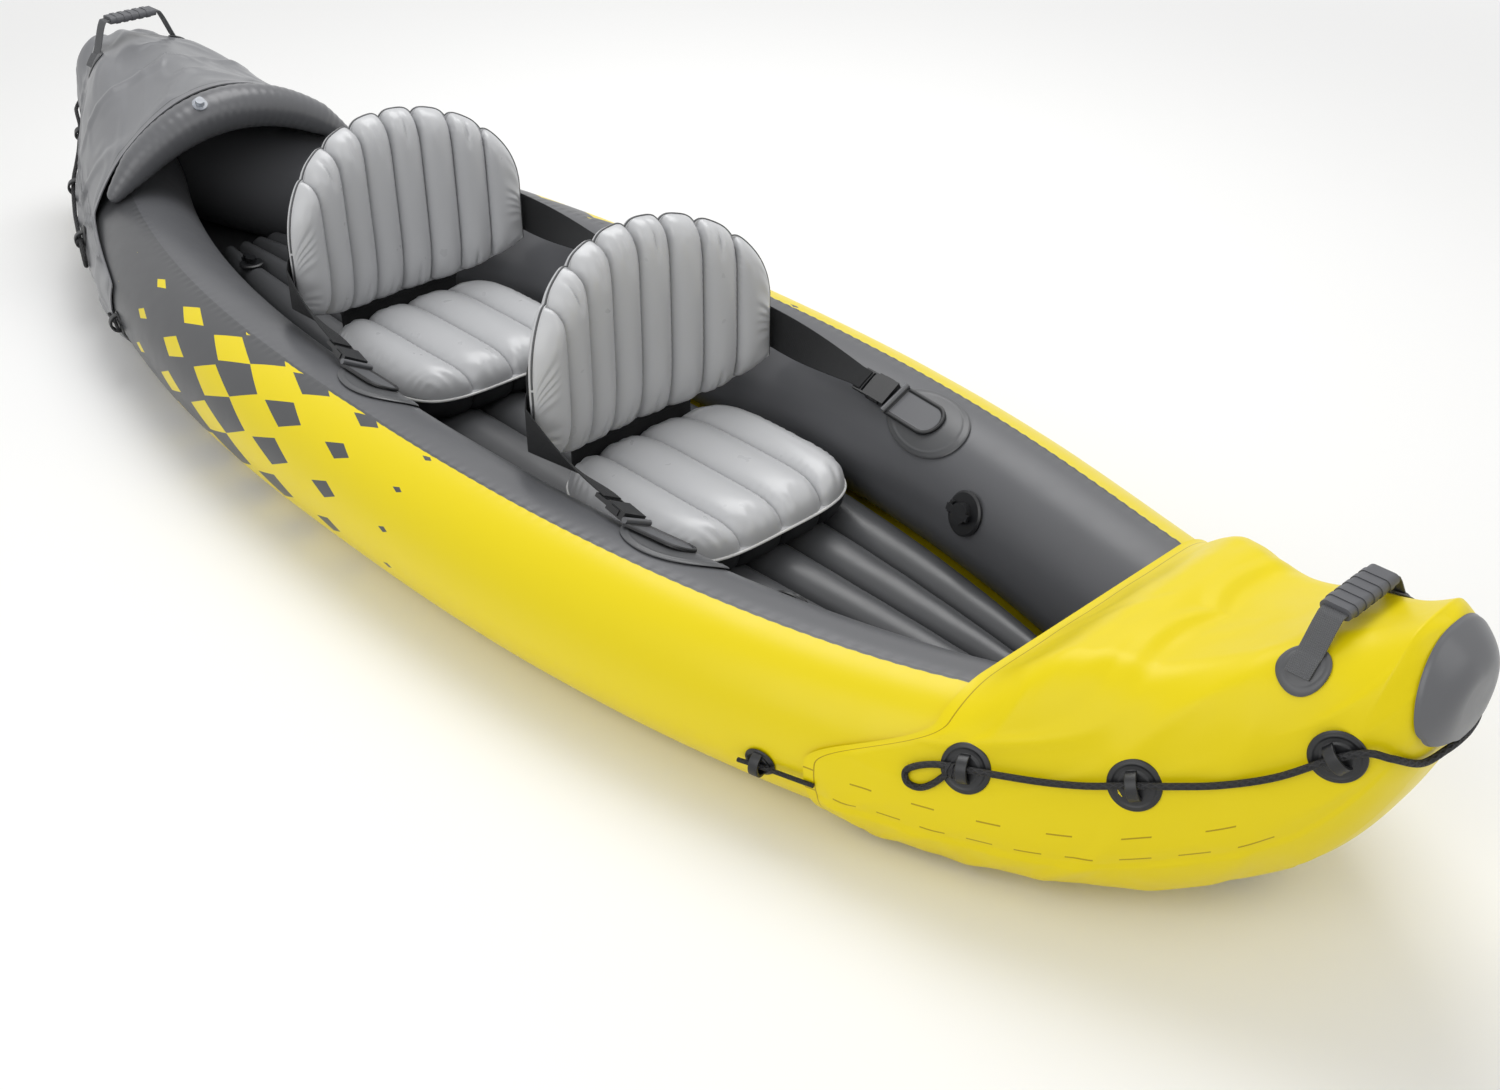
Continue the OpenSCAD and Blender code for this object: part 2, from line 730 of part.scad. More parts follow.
module bow_handle_grip() {
    handle_grip(bow_handle_x, bow_grip_rise);
}

module stern_handle_discs() {
    handle_discs(stern_handle_x);
}

module stern_handle_strap() {
    handle_strap(stern_handle_x, stern_grip_rise);
}

module stern_handle_grip() {
    handle_grip(stern_handle_x, stern_grip_rise);
}

// Valves: a flange with a collar, and a cap on a small hinge at its aft side
flange_h = 5;
collar_h = 11;
cap_t = 4;
plug_h = 6;
hinge_rise = 8.3;
barrel_r = 3;
pin_r = 1.5;
ear_t = 3.5;
ear_in = 5.5;
fitting_off = 0.1;
valve_off = 0.9;
coaming_valve_off = 0.4;
function collar_r(bore) = 0.7 * bore;
function hinge_out(bore) = collar_r(bore) + 8;

module valve_body(flange, bore) {
    out = hinge_out(bore);
    r = flange / 2;
    color(black)
        difference() {
            union() {
                rotate_extrude()
                    polygon([
                        [bore / 2, 0], [r, 0], [r, 3], [r - 3, flange_h],
                        [collar_r(bore), flange_h], [collar_r(bore), collar_h], [bore / 2, collar_h]
                    ]);
                for (side = [1, -1])
                    translate([-out, side * (ear_in + ear_t / 2), (hinge_rise + barrel_r) / 2 + 1])
                        cube([2 * barrel_r, ear_t, hinge_rise + barrel_r - 2], center = true);
            }
            translate([-out, 0, hinge_rise])
                rotate([90, 0, 0])
                    cylinder(r = pin_r + gap / 2, h = 4 * ear_in + 2 * ear_t, center = true);
        }
}

module valve_cap(bore) {
    out = hinge_out(bore);
    arm = 2 * (ear_in - gap);
    lid_z = collar_h + gap;
    color(dark_grey) {
        translate([0, 0, lid_z])
            cylinder(r = collar_r(bore), h = cap_t);
        translate([0, 0, lid_z - plug_h])
            cylinder(r = bore / 2 - gap, h = plug_h + 1);
        translate([0, -arm / 2, lid_z])
            cube([collar_r(bore) + 4, arm, cap_t]);
        translate([-out - barrel_r, -arm / 2, lid_z])
            cube([out, arm, cap_t]);
        translate([-out - barrel_r, -arm / 2, hinge_rise])
            cube([2 * barrel_r, arm, lid_z + 1 - hinge_rise]);
        translate([-out, 0, hinge_rise])
            rotate([90, 0, 0]) {
                cylinder(r = barrel_r, h = arm, center = true);
                cylinder(r = pin_r, h = 2 * (ear_in + ear_t), center = true);
            }
    }
}

valve_x = half_len - valve_inset;
valve_at = shell(valve_x, valve_angle, valve_off);
floor_valve_at = [floor_valve_x, -2 * mat_half(floor_valve_x) / mat_beams, floor_top + fitting_off];

module port_valve() {
    on_side(1, valve_at, valve_angle) valve_body(flange_dia, valve_bore);
}

module port_valve_cap() {
    on_side(1, valve_at, valve_angle) valve_cap(valve_bore);
}

module starboard_valve() {
    on_side(-1, valve_at, valve_angle) valve_body(flange_dia, valve_bore);
}

module starboard_valve_cap() {
    on_side(-1, valve_at, valve_angle) valve_cap(valve_bore);
}

module floor_valve() {
    translate(floor_valve_at) valve_body(floor_flange, floor_bore);
}

module floor_valve_cap() {
    translate(floor_valve_at) valve_cap(floor_bore);
}

// Stem valves: a short neck on a flange, and a push-in stopper
stem_r = 8;
stem_h = 9;
stem_bore = 9;
stopper_t = 3;
stopper_plug = 6;

module stem_valve() {
    color(seat_grey)
        rotate_extrude()
            polygon([
                [stem_bore / 2, 0], [stem_flange / 2, 0], [stem_flange / 2, 1.5],
                [stem_r + 1, 2.5], [stem_r, stem_h], [stem_bore / 2, stem_h]
            ]);
}

module stem_stopper() {
    color(seat_grey) {
        translate([0, 0, stem_h + gap])
            cylinder(r = stem_r, h = stopper_t);
        translate([0, 0, stem_h + gap - stopper_plug])
            cylinder(d = stem_bore - gap, h = stopper_plug + 1);
    }
}

// Puts children at point p with local z along n
module upright(p, n) {
    along(p, unit([0, 1, 0] - n.y * n), cross(n, [0, 1, 0])) children();
}

coaming_valve_q = -3 / coaming_steps;
coaming_valve_turn = 33.75;
coaming_valve_d = unit(coaming_point(coaming_valve_q + 0.02) - coaming_point(coaming_valve_q - 0.02));
coaming_valve_up = cross([1, 0, 0], coaming_valve_d);
coaming_valve_n = sin(coaming_valve_turn) * [1, 0, 0] + cos(coaming_valve_turn) * coaming_valve_up;
coaming_valve_at = coaming_point(coaming_valve_q)
    + (coaming_r(coaming_valve_q) * cos(180 / coaming_sides) + coaming_valve_off) * coaming_valve_n;

module coaming_valve() {
    upright(coaming_valve_at, coaming_valve_n) stem_valve();
}

module coaming_valve_stopper() {
    upright(coaming_valve_at, coaming_valve_n) stem_stopper();
}

// Seat cushions: a pillow of lengthwise channels with a rim that draws in between its corners
rear_seat_x = front_seat_x - seat_pitch;
hem_t = 2.4;
cushion_drop = 36;
cushion_steps = 5;
cushion_rows = 10;
cushion_seam = floor_top + gap + cushion_drop + rim_t / 2;
cushion_crown = cushion_h - cushion_drop - rim_t;
function swell(t, power) = sqrt(max(0, 1 - pow(abs(t), power)));
function channel(c, depth) = let (w = 2 * (c - floor(c)) - 1) 1 - depth + depth * sqrt(max(0, 1 - w * w));
function cushion_point(h, u, v, up) = [
    h + hem_t / 2 + gap + cushion_len / 2 * (1 + u * (1 - 0.1 * pow(v, 4))),
    cushion_w / 2 * v * (1 - 0.12 * pow(u, 4)),
    cushion_seam + up
];

module cushion(h) {
    columns = cushion_channels * cushion_steps;
    rings = [
        for (i = [0:cushion_rows]) let (
            u = -cos(180 * i / cushion_rows),
            vs = [for (j = [0:columns]) 2 * j / columns - 1]
        ) band(
            [for (j = [0:columns]) let (full = swell(u, 6) * swell(vs[j], 6))
                cushion_point(
                    h, u, vs[j], rim_t / 2 + cushion_crown * full * channel(j / cushion_steps, 0.3)
                )],
            [for (v = vs) let (full = min(1, 1.3 * swell(u, 6) * swell(v, 6)))
                cushion_point(h, u, v, -rim_t / 2 - cushion_drop * full)]
        )
    ];
    color(seat_grey) loft(rings, strip = true);
}

// Backrests: a wrapped pad of upright channels over a rolled hem
hinge_z = cushion_seam + 40;
back_base = hinge_z + hem_dia / 2 + gap;
back_depth = 12;
back_rise = 55;
back_steps = 4;
back_rows = 10;
back_radius = back_half_w / sin(back_wrap);
sleeve_gap = 1.7;
strap_gap = 0.9;
function back_low(s) = back_base + back_rise * abs(pow(s, 3));
function back_high(s) = back_base + back_h * (0.5 + 0.5 * sqrt(max(0, 1 - s * s)));
// Point on the pad at s across and t up, off its seam surface by off
function back_point(h, s, t, off) = [
    h + back_radius * (1 - cos(back_wrap * s)) + off * cos(back_wrap * s),
    back_radius * sin(back_wrap * s) - off * sin(back_wrap * s),
    mix(back_low(s), back_high(s), t)
];
function back_full(s, t) = swell(s, 6) * swell(2 * t - 1, 4);
function back_front(s, t) = rim_t / 2
    + back_puff * back_full(s, t) * channel((s + 1) / 2 * back_channels, 0.34);
function back_rear(s, t) = -rim_t / 2 - back_depth * back_full(s, t);
back_ts = [for (i = [0:back_rows - 1]) (1 - cos(180 * i / (back_rows - 1))) / 2];

module backrest(h) {
    columns = back_channels * back_steps;
    color(seat_grey)
        loft([
            for (j = [0:columns]) let (s = 2 * j / columns - 1) band(
                [for (t = back_ts) back_point(h, s, t, back_front(s, t))],
                [for (t = back_ts) back_point(h, s, t, back_rear(s, t))]
            )
        ], strip = true);
}

sleeve_ts = [0.04, 0.07, 0.11, 0.17, 0.26, 0.4, 0.56, 0.72];
sleeve_reach = 0.95;
sleeve_steps = 12;

module back_sleeve(h) {
    color(black)
        loft([
            for (j = [0:sleeve_steps]) let (s = sleeve_reach * (2 * j / sleeve_steps - 1)) band(
                [for (t = sleeve_ts) back_point(h, s, t, back_rear(s, t) - sleeve_gap)],
                [for (t = sleeve_ts) back_point(h, s, t, back_rear(s, t) - sleeve_gap - sleeve_t)]
            )
        ], strip = true);
}

module hinge_hem(h) {
    foot = cushion_seam - rim_t / 2;
    color(black) {
        translate([h, 0, hinge_z])
            rotate([90, 0, 0])
                cylinder(d = hem_dia, h = hem_len, center = true);
        translate([h - hem_t / 2, -hem_len / 2, foot])
            cube([hem_t, hem_len, hinge_z - foot]);
    }
}

back_valve_t = 0.86;

back_valve_off = back_rear(0, back_valve_t) - fitting_off;
back_valve_lean = (back_rear(0, back_valve_t + 0.04) - back_rear(0, back_valve_t - 0.04)) / (0.08 * back_h);

module on_back(h) {
    upright(back_point(h, 0, back_valve_t, back_valve_off), unit([-1, 0, back_valve_lean])) children();
}

module front_cushion() {
    cushion(front_seat_x);
}

module front_backrest() {
    backrest(front_seat_x);
}

module front_back_sleeve() {
    back_sleeve(front_seat_x);
}

module front_hinge_hem() {
    hinge_hem(front_seat_x);
}

module front_back_valve() {
    on_back(front_seat_x) stem_valve();
}

module front_back_stopper() {
    on_back(front_seat_x) stem_stopper();
}

module rear_cushion() {
    cushion(rear_seat_x);
}

module rear_backrest() {
    backrest(rear_seat_x);
}

module rear_back_sleeve() {
    back_sleeve(rear_seat_x);
}

module rear_hinge_hem() {
    hinge_hem(rear_seat_x);
}

module rear_back_valve() {
    on_back(rear_seat_x) stem_valve();
}

module rear_back_stopper() {
    on_back(rear_seat_x) stem_stopper();
}

// Strap anchors: an oval patch on the chamber, a vinyl tab and a side-release buckle
anchor_off = 1.6;
anchor_t = 2;
anchor_sides = 14;
tab_seat = anchor_off + anchor_t + 0.6;
tab_back = 20;
tab_t = 2.5;
tab_border = 6;
tab_border_t = 4.5;
hem_roll_r = 4.5;
hem_roll_z = buckle_h / 2 + 0.5;
ladder_len = 26;
ladder_t = 6;
function anchor_ring(x, r, off) = [
    for (i = [0:anchor_sides - 1]) let (t = 360 * i / anchor_sides) shell(
        x + r * anchor_len / 2 * cos(t),
        anchor_angle + r * anchor_w / 2 * sin(t) / chamber_r * 180 / PI,
        off
    )
];

module anchor_patch(x) {
    radii = [0.2, 0.6, 1];
    loft(concat(
        [for (r = radii) anchor_ring(x, r, anchor_off)],
        [for (r = reversed(radii)) anchor_ring(x, r, anchor_off + anchor_t)]
    ));
}

module tab_shape(inset) {
    w = tab_w - 2 * inset;
    translate([-tab_len / 2 + inset, -w / 2])
        square([tab_len - tab_w / 2 - inset, w]);
    translate([tab_len / 2 - tab_w / 2, 0])
        circle(d = w);
}

module tab() {
    linear_extrude(tab_t)
        tab_shape(0);
    linear_extrude(tab_border_t)
        difference() {
            tab_shape(0);
            tab_shape(tab_border);
        }
    translate([-tab_len / 2, 0, hem_roll_z])
        rotate([90, 0, 0])
            cylinder(r = hem_roll_r, h = tab_w, center = true);
}

// Frame of the port strap of the seat at h: its tab, and the buckle that hangs on the tab's hem roll
function tab_at(h) = shell(h + anchor_reach - tab_back, anchor_angle, tab_seat);
function tab_x(h) = let (a = side_slope(tab_at(h).x)) [cos(a), sin(a), 0];
function tab_y(h) = let (a = side_slope(tab_at(h).x))
    [-sin(anchor_angle) * sin(a), sin(anchor_angle) * cos(a), -cos(anchor_angle)];
function tab_z(h) = cross(tab_x(h), tab_y(h));
function roll_at(h) = tab_at(h) - tab_len / 2 * tab_x(h) + hem_roll_z * tab_z(h);
strap_t = 0.36;
wing_edge = 1.03;
function strap_on_back(h, s) = back_point(
    h, s, strap_t, back_rear(s, strap_t) - sleeve_gap - sleeve_t - strap_gap - web_t / 2
);
function buckle_x(h) = unit(strap_on_back(h, wing_edge) - roll_at(h));
function buckle_z(h) = unit(cross(buckle_x(h), -tab_y(h)));
function buckle_y(h) = cross(buckle_z(h), buckle_x(h));
function buckle_at(h) = roll_at(h)
    + (hem_roll_r + gap + buckle_w / 2 * abs(buckle_x(h) * tab_y(h))) * buckle_x(h);

module on_strap(h, side) {
    mirror([0, side > 0 ? 0 : 1, 0])
        along(buckle_at(h), buckle_x(h), buckle_y(h))
            children();
}

window_x = 10;
window_len = 18;
window_h = buckle_h - 4;
mouth_w = 28;
tongue_w = 18;
tang_in = 15.5;
tang_proud = 1.5;

module socket() {
    difference() {
        translate([0, -buckle_w / 2, -buckle_h / 2])
            cube([buckle_len, buckle_w, buckle_h]);
        translate([window_x, -mouth_w / 2, -ladder_t / 2 - gap])
            cube([buckle_len, mouth_w, ladder_t + 2 * gap]);
        translate([window_x, -buckle_w, -window_h / 2])
            cube([window_len, 2 * buckle_w, window_h]);
    }
}

module ladder() {
    start = buckle_len + gap;
    difference() {
        union() {
            translate([start, -buckle_w / 2 + 1, -ladder_t / 2])
                cube([ladder_len, buckle_w - 2, ladder_t]);
            translate([window_x + gap, -tongue_w / 2, -ladder_t / 2])
                cube([buckle_len, tongue_w, ladder_t]);
        }
        for (i = [1, 2])
            translate([start + i * ladder_len / 3 - 2, -web_w / 2 - gap, -ladder_t])
                cube([4, web_w + 2 * gap, 2 * ladder_t]);
    }
}

module tang(h, side, up) {
    color(black)
        on_strap(h, side)
            translate([window_x + gap, up > 0 ? -buckle_w / 2 - tang_proud : tang_in, gap - window_h / 2])
                cube([window_len - 2 * gap, buckle_w / 2 + tang_proud - tang_in, window_h - 2 * gap]);
}

seats = [front_seat_x, rear_seat_x];

module anchor_patches() {
    color(dark_grey)
        for (h = seats, side = [1, -1])
            mirror([0, side > 0 ? 0 : 1, 0])
                anchor_patch(h + anchor_reach);
}

module anchor_tabs() {
    color(hull_grey)
        for (h = seats, side = [1, -1])
            on_side(side, tab_at(h), anchor_angle)
                tab();
}

module strap_buckles() {
    color(black)
        for (h = seats, side = [1, -1])
            on_strap(h, side) {
                socket();
                ladder();
            }
}

// Webbing straps: from the buckle's ladder to the outside of the sleeve, with a quarter turn on the way
function on_ladder(h, reach) = buckle_at(h) + (buckle_len + reach) * buckle_x(h)
    + (ladder_t / 2 + gap + web_t / 2) * buckle_z(h);

strap_steps = 6;
strap_sewn = [0.96, 0.88, 0.8, 0.72];

module strap(h, side) {
    foot = on_ladder(h, ladder_len);
    bend = strap_on_back(h, wing_edge);
    points = concat(
        [on_ladder(h, 8)],
        [for (i = [0:strap_steps]) mix(foot, bend, i / strap_steps)],
        [for (s = strap_sewn) strap_on_back(h, s)]
    );
    last = len(points) - 1;
    turns = [for (i = [0:last]) min(1, max(0, (i - 1) / strap_steps))];
    color(black)
        mirror([0, side > 0 ? 0 : 1, 0])
            loft([
                for (i = [0:last]) let (
                    d = points[min(last, i + 1)] - points[max(0, i - 1)],
                    w = unit(mix(-buckle_y(h), [0, 0, 1], turns[i])),
                    n = unit(cross(w, d))
                ) strap_ring(points[i], mix(web_w, web_root_w, turns[i]) / 2 * w, web_t / 2 * n)
            ], strip = true);
}

module front_port_strap() {
    strap(front_seat_x, 1);
}

module front_starboard_strap() {
    strap(front_seat_x, -1);
}

module rear_port_strap() {
    strap(rear_seat_x, 1);
}

module rear_starboard_strap() {
    strap(rear_seat_x, -1);
}

module front_port_tang_upper() {
    tang(front_seat_x, 1, 1);
}

module front_port_tang_lower() {
    tang(front_seat_x, 1, -1);
}

module front_starboard_tang_upper() {
    tang(front_seat_x, -1, 1);
}

module front_starboard_tang_lower() {
    tang(front_seat_x, -1, -1);
}

module rear_port_tang_upper() {
    tang(rear_seat_x, 1, 1);
}

module rear_port_tang_lower() {
    tang(rear_seat_x, 1, -1);
}

module rear_starboard_tang_upper() {
    tang(rear_seat_x, -1, 1);
}

module rear_starboard_tang_lower() {
    tang(rear_seat_x, -1, -1);
}

hull_bottom();
port_side_chamber();
starboard_side_chamber();
floor_mat();
bow_cover();
stern_cover();
stern_coaming();
bow_splash_bolster();
bow_nose_patch();
stern_nose_patch();
bow_wear_patch();
bow_rope_holders();
stern_rope_holders();
lace_holders();
bow_grab_rope();
stern_grab_rope();
cover_laces();
bow_handle_discs();
bow_handle_strap();
bow_handle_grip();
stern_handle_discs();
stern_handle_strap();
stern_handle_grip();
port_valve();
port_valve_cap();
starboard_valve();
starboard_valve_cap();
floor_valve();
floor_valve_cap();
coaming_valve();
coaming_valve_stopper();
front_cushion();
front_backrest();
front_back_sleeve();
front_hinge_hem();
front_back_valve();
front_back_stopper();
rear_cushion();
rear_backrest();
rear_back_sleeve();
rear_hinge_hem();
rear_back_valve();
rear_back_stopper();
front_port_strap();
front_starboard_strap();
rear_port_strap();
rear_starboard_strap();
anchor_patches();
anchor_tabs();
strap_buckles();
front_port_tang_upper();
front_port_tang_lower();
front_starboard_tang_upper();
front_starboard_tang_lower();
rear_port_tang_upper();
rear_port_tang_lower();
rear_starboard_tang_upper();
rear_starboard_tang_lower();
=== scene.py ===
import json
import math

import bmesh
import bpy
import numpy as np
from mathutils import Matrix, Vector


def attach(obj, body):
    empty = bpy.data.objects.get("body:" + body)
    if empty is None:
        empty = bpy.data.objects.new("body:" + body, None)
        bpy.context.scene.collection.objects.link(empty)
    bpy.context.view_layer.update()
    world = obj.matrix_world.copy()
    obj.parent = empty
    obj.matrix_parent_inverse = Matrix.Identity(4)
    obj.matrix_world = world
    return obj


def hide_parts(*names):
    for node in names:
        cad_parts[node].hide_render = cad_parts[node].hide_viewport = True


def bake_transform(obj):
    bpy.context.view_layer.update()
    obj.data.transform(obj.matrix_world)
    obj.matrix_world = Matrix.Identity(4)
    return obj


# Tandem inflatable kayak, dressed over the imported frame
# Lengths are millimetres until surface() makes a mesh of them
# Angles are degrees round a side chamber: 0 outboard, 90 up, 180 inboard
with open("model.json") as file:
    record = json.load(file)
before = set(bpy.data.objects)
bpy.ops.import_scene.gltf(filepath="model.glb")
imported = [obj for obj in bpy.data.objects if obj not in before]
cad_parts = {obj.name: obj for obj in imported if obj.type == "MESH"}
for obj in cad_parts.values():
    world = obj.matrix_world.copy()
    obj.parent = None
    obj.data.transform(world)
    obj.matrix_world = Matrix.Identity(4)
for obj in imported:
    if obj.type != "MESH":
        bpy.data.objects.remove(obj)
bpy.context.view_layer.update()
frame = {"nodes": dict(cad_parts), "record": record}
MM = 0.001
END = {"bow": 1, "stern": -1}
SIDE = {1: "port", -1: "starboard"}
TO_STARBOARD = np.array([1, -1, 1])

# Camera of the photograph: place in metres, view direction, lens and sensor in mm, and shift of the picture
CAMERA_AT = (2.02, -1.44, 1.43)
CAMERA_LOOK = (-0.60975, 0.57100, -0.54970)
CAMERA_LENS = 40.4
CAMERA_SENSOR = 36
CAMERA_SHIFT = 0.006

# Hull form, with the values of the part's source
HALF_LEN = 1560
CHAMBER_R = 115
BASE_Z = 2.8
FLAT_HALF = 450
RISE_END = 1500
FOREFOOT_RISE = 160
STERN_FOOT_RISE = 120
ROCKER_POWER = 8.4
BOW_SHEER = 222
STERN_SHEER = 150
SHEER_POWER = 6.1
BOW_TIP_Z = 380
STERN_TIP_Z = 290
END_ROUND = 105
BOW_ROUND_POWER = 2.6
STERN_ROUND_POWER = 2
TIP_SHARE = 0.0004
BOW_TAPER = 0.15
STERN_TAPER = 0.4
TAPER_FROM = 1200
TAPER_LEN = 320
CENTRE_Y = 340
LEAST_Y = 15
BOW_MEET_X = 1494
STERN_MEET_X = 1432
BOW_SWEEP_POWER = 2.6
STERN_SWEEP_POWER = 2.3
PANEL_SEAM = 82
BOTTOM_SEAM = -55

# Covers and what they stand on
COVER_IN = 2.5
COVER_OUT = 5.0
NOSE_IN = 7.7
NOSE_OUT = 10.5
NOSE_TURN = 86
CAP_START = HALF_LEN - NOSE_OUT - END_ROUND
NOSE_EDGE = CAP_START + END_ROUND * math.sin(math.radians(NOSE_TURN))
BOW_EDGE = 1092
BOW_FLAP = 127
STERN_EDGE = -996.42
STERN_FLAP = 231
EDGE = {"bow": BOW_EDGE, "stern": STERN_EDGE}
CORNER = {"bow": BOW_EDGE - BOW_FLAP, "stern": STERN_EDGE + STERN_FLAP}
RIDGE_X = 1205
RIDGE_LIFT = 58
RIDGE_RUN = 100
RIDGE_BACK = 5
RIDGE_DROP = 70
RIDGE_KEEP = 0.7
BOW_FALL_FROM = 170
BOW_FALL_RUN = 110
STERN_DECK_Z = 410
STERN_LEAD = 176
STERN_FALL_FROM = 180
STERN_FALL_RUN = 100
ARCH_RUN = 300
BOW_SHOULDER = 0.97
ARCH_SHOULDER = 0.5
STERN_SHOULDER = 0.9
LAP_FROM = 15
COAMING_X = -970
COAMING_TOP = 385
COAMING_DIA = 85
COAMING_END_DIA = 24
COAMING_PROUD = 8
COAMING_DECK = 0.6
COAMING_SEAT_ANGLE = 54

# Floor mat
MAT_HEIGHT = 73
MAT_BEAMS = 5
MAT_INSET = 112
MAT_FRONT = 1070
MAT_BACK = -1040

# Seats
SEAT_X = {"front": 235, "rear": -410}
CUSHION_LEN = 340
CUSHION_W = 360
CUSHION_CHANNELS = 4
CUSHION_SEAM = 114.536
CUSHION_CROWN = 48
CUSHION_DROP = 36
CUSHION_GAP = 0.4
RIM_T = 6
HEM_DIA = 10
HEM_T = 2.4
HEM_LEN = 240
HINGE_Z = 154.536
BACK_BASE = 159.936
BACK_H = 326
BACK_HALF_W = 230
BACK_WRAP = 32
BACK_PUFF = 44
BACK_DEPTH = 12
BACK_RISE = 55
BACK_CHANNELS = 8
SLEEVE_GAP = 1.7
SLEEVE_T = 2.4

# Rope gear and handles
ROPE_R = 4
LACE_R = 3
HANDLE_X = {"bow": 1417, "stern": -1320}
HANDLE_RISE = {"bow": 28, "stern": 42}
HANDLE_HALF = 92
HANDLE_WEB = 28
HANDLE_WEB_T = 2.4
GRIP_LEN = 96
DISC_DIA = 56
DISC_T = 3
DISC_SEAT = COVER_OUT + 1.6
ROOT_SEAT = DISC_SEAT + DISC_T + 1.36


def smooth(t):
    """Eased step from 0 to 1."""
    c = np.clip(t, 0, 1)
    return c * c * (3 - 2 * c)


def mix(a, b, t):
    """Straight blend from a to b as t goes from 0 to 1."""
    return a + (b - a) * t


def bell(t, width):
    """Bell curve, 1 at zero and small beyond its width."""
    return np.exp(-(t / width) ** 2)


def wave(along, pitch, lead=0):
    """Sine of a length, with a pitch, moved on by an angle in radians."""
    return np.sin(2 * np.pi * along / pitch + lead)


def rounded(r, start, width, least):
    """Share of a disc's height at r: 1 up to start, then down a quarter circle of a width."""
    return np.sqrt(np.maximum(least, 1 - np.maximum(0, (r - start) / width) ** 2))


def stack(x, y, z):
    """Points from coordinates of any shapes that fit each other."""
    return np.stack(np.broadcast_arrays(x, y, z), -1).astype(float)


def by_end(x, bow, stern):
    """One value in the bow half of the hull and another in the stern half."""
    return np.where(x > 0, bow, stern)


def run(x):
    """Share of the way from the hull's level middle to where its ends have risen."""
    return np.maximum(0, (np.abs(x) - FLAT_HALF) / (RISE_END - FLAT_HALF))


def low_z(x):
    """Lowest line of a chamber: level amidships, then up with a high power of the run."""
    return BASE_Z + by_end(x, FOREFOOT_RISE, STERN_FOOT_RISE) * run(x) ** ROCKER_POWER


def high_z(x):
    """Highest line of a chamber: level amidships, then up with a power of the run until the rise ends."""
    return BASE_Z + 2 * CHAMBER_R + by_end(x, BOW_SHEER, STERN_SHEER) * np.minimum(1, run(x)) ** SHEER_POWER


def cap(x):
    """Share of its section that a chamber keeps: 1, then down a superellipse over its rounded end."""
    power = by_end(x, BOW_ROUND_POWER, STERN_ROUND_POWER)
    a = np.clip((np.abs(x) - CAP_START) / END_ROUND, 0, 1)
    return np.maximum(TIP_SHARE, 1 - a ** power) ** (1 / power)


def tip_z(x):
    """Height of the hull's tip at that end."""
    return by_end(x, BOW_TIP_Z, STERN_TIP_Z)


def mid_z(x):
    """Height of a chamber's centre line: halfway between its lines, drawn to the tip over the rounded end."""
    return mix(tip_z(x), (low_z(x) + high_z(x)) / 2, cap(x))


def half_h(x):
    """Half a chamber's height."""
    return (high_z(x) - low_z(x)) / 2 * cap(x)


def half_w(x):
    """Half a chamber's width: its radius, with an eased taper towards the ends."""
    taper = by_end(x, BOW_TAPER, STERN_TAPER) * smooth((np.abs(x) - TAPER_FROM) / TAPER_LEN)
    return CHAMBER_R * (1 - taper) * cap(x)


def side_y(x):
    """Distance of a chamber's centre line from the middle: a power curve that runs out softly at the ends."""
    far = np.abs(x) / by_end(x, BOW_MEET_X, STERN_MEET_X)
    y = CENTRE_Y * (1 - far ** by_end(x, BOW_SWEEP_POWER, STERN_SWEEP_POWER))
    return (y + np.sqrt(y * y + 4 * LEAST_Y ** 2)) / 2


def shell(x, a, off=0):
    """Point on the port chamber: an oval round the chamber's centre line, off its skin by off."""
    r = np.radians(a)
    return stack(x, side_y(x) + (half_w(x) + off) * np.cos(r), mid_z(x) + (half_h(x) + off) * np.sin(r))


def lift(x):
    """How far a cover stands above the chambers: the bow's ridge or the stern's deck line, in eased steps."""
    keep = mix(1, RIDGE_KEEP, smooth((x - RIDGE_X - RIDGE_BACK) / RIDGE_DROP))
    fall = 1 - smooth((x - HALF_LEN + BOW_FALL_FROM) / BOW_FALL_RUN)
    bow = RIDGE_LIFT * smooth((x - BOW_EDGE) / RIDGE_RUN) * keep * fall
    line = mix(COAMING_TOP, STERN_DECK_Z, smooth((STERN_EDGE - x) / ARCH_RUN))
    stern = np.maximum(0, line - high_z(x)) * smooth((STERN_EDGE + STERN_LEAD - x) / STERN_LEAD)
    return by_end(x, bow, stern * (1 - smooth((HALF_LEN - STERN_FALL_FROM + x) / -STERN_FALL_RUN)))


def flatness(x):
    """0 where the stern cover is round like an arch, at the coaming, and 1 where a cover is flat."""
    return by_end(x, 1, smooth((STERN_EDGE - x) / ARCH_RUN))


def shoulder(x):
    """Share of the lift that a cover has over the chamber's top line."""
    return by_end(x, BOW_SHOULDER, mix(ARCH_SHOULDER, STERN_SHOULDER, flatness(x)))


def skin(x, a, off=0):
    """Point on a cover over the chamber: its oval, raised by the lift with an arch or an eased step."""
    f = (a - LAP_FROM) / (90 - LAP_FROM)
    arch = 1 - np.cos(np.pi / 2 * np.clip(f, 0, 1))
    up = lift(x) * shoulder(x) * mix(arch, smooth(f), flatness(x))
    return shell(x, a, off) + stack(0, 0, up)


def deck(x, f, off=0):
    """Point on a cover between the chambers' tops: a parabola or a cosine across, f from 0 amidships to 1."""
    up = lift(x) * mix(shoulder(x), 1, mix(1 - f * f, (1 + np.cos(np.pi * f)) / 2, flatness(x)))
    return stack(x, f * side_y(x), mid_z(x) + half_h(x) + off + up)


def top_z(x, y, off=0):
    """Height of a cover's top over a place on it."""
    f = np.abs(y) / side_y(x)
    a = np.degrees(np.arccos(np.clip((np.abs(y) - side_y(x)) / (half_w(x) + off), 0, 1)))
    return np.where(f <= 1, deck(x, np.minimum(f, 1), off)[..., 2], skin(x, a, off)[..., 2])


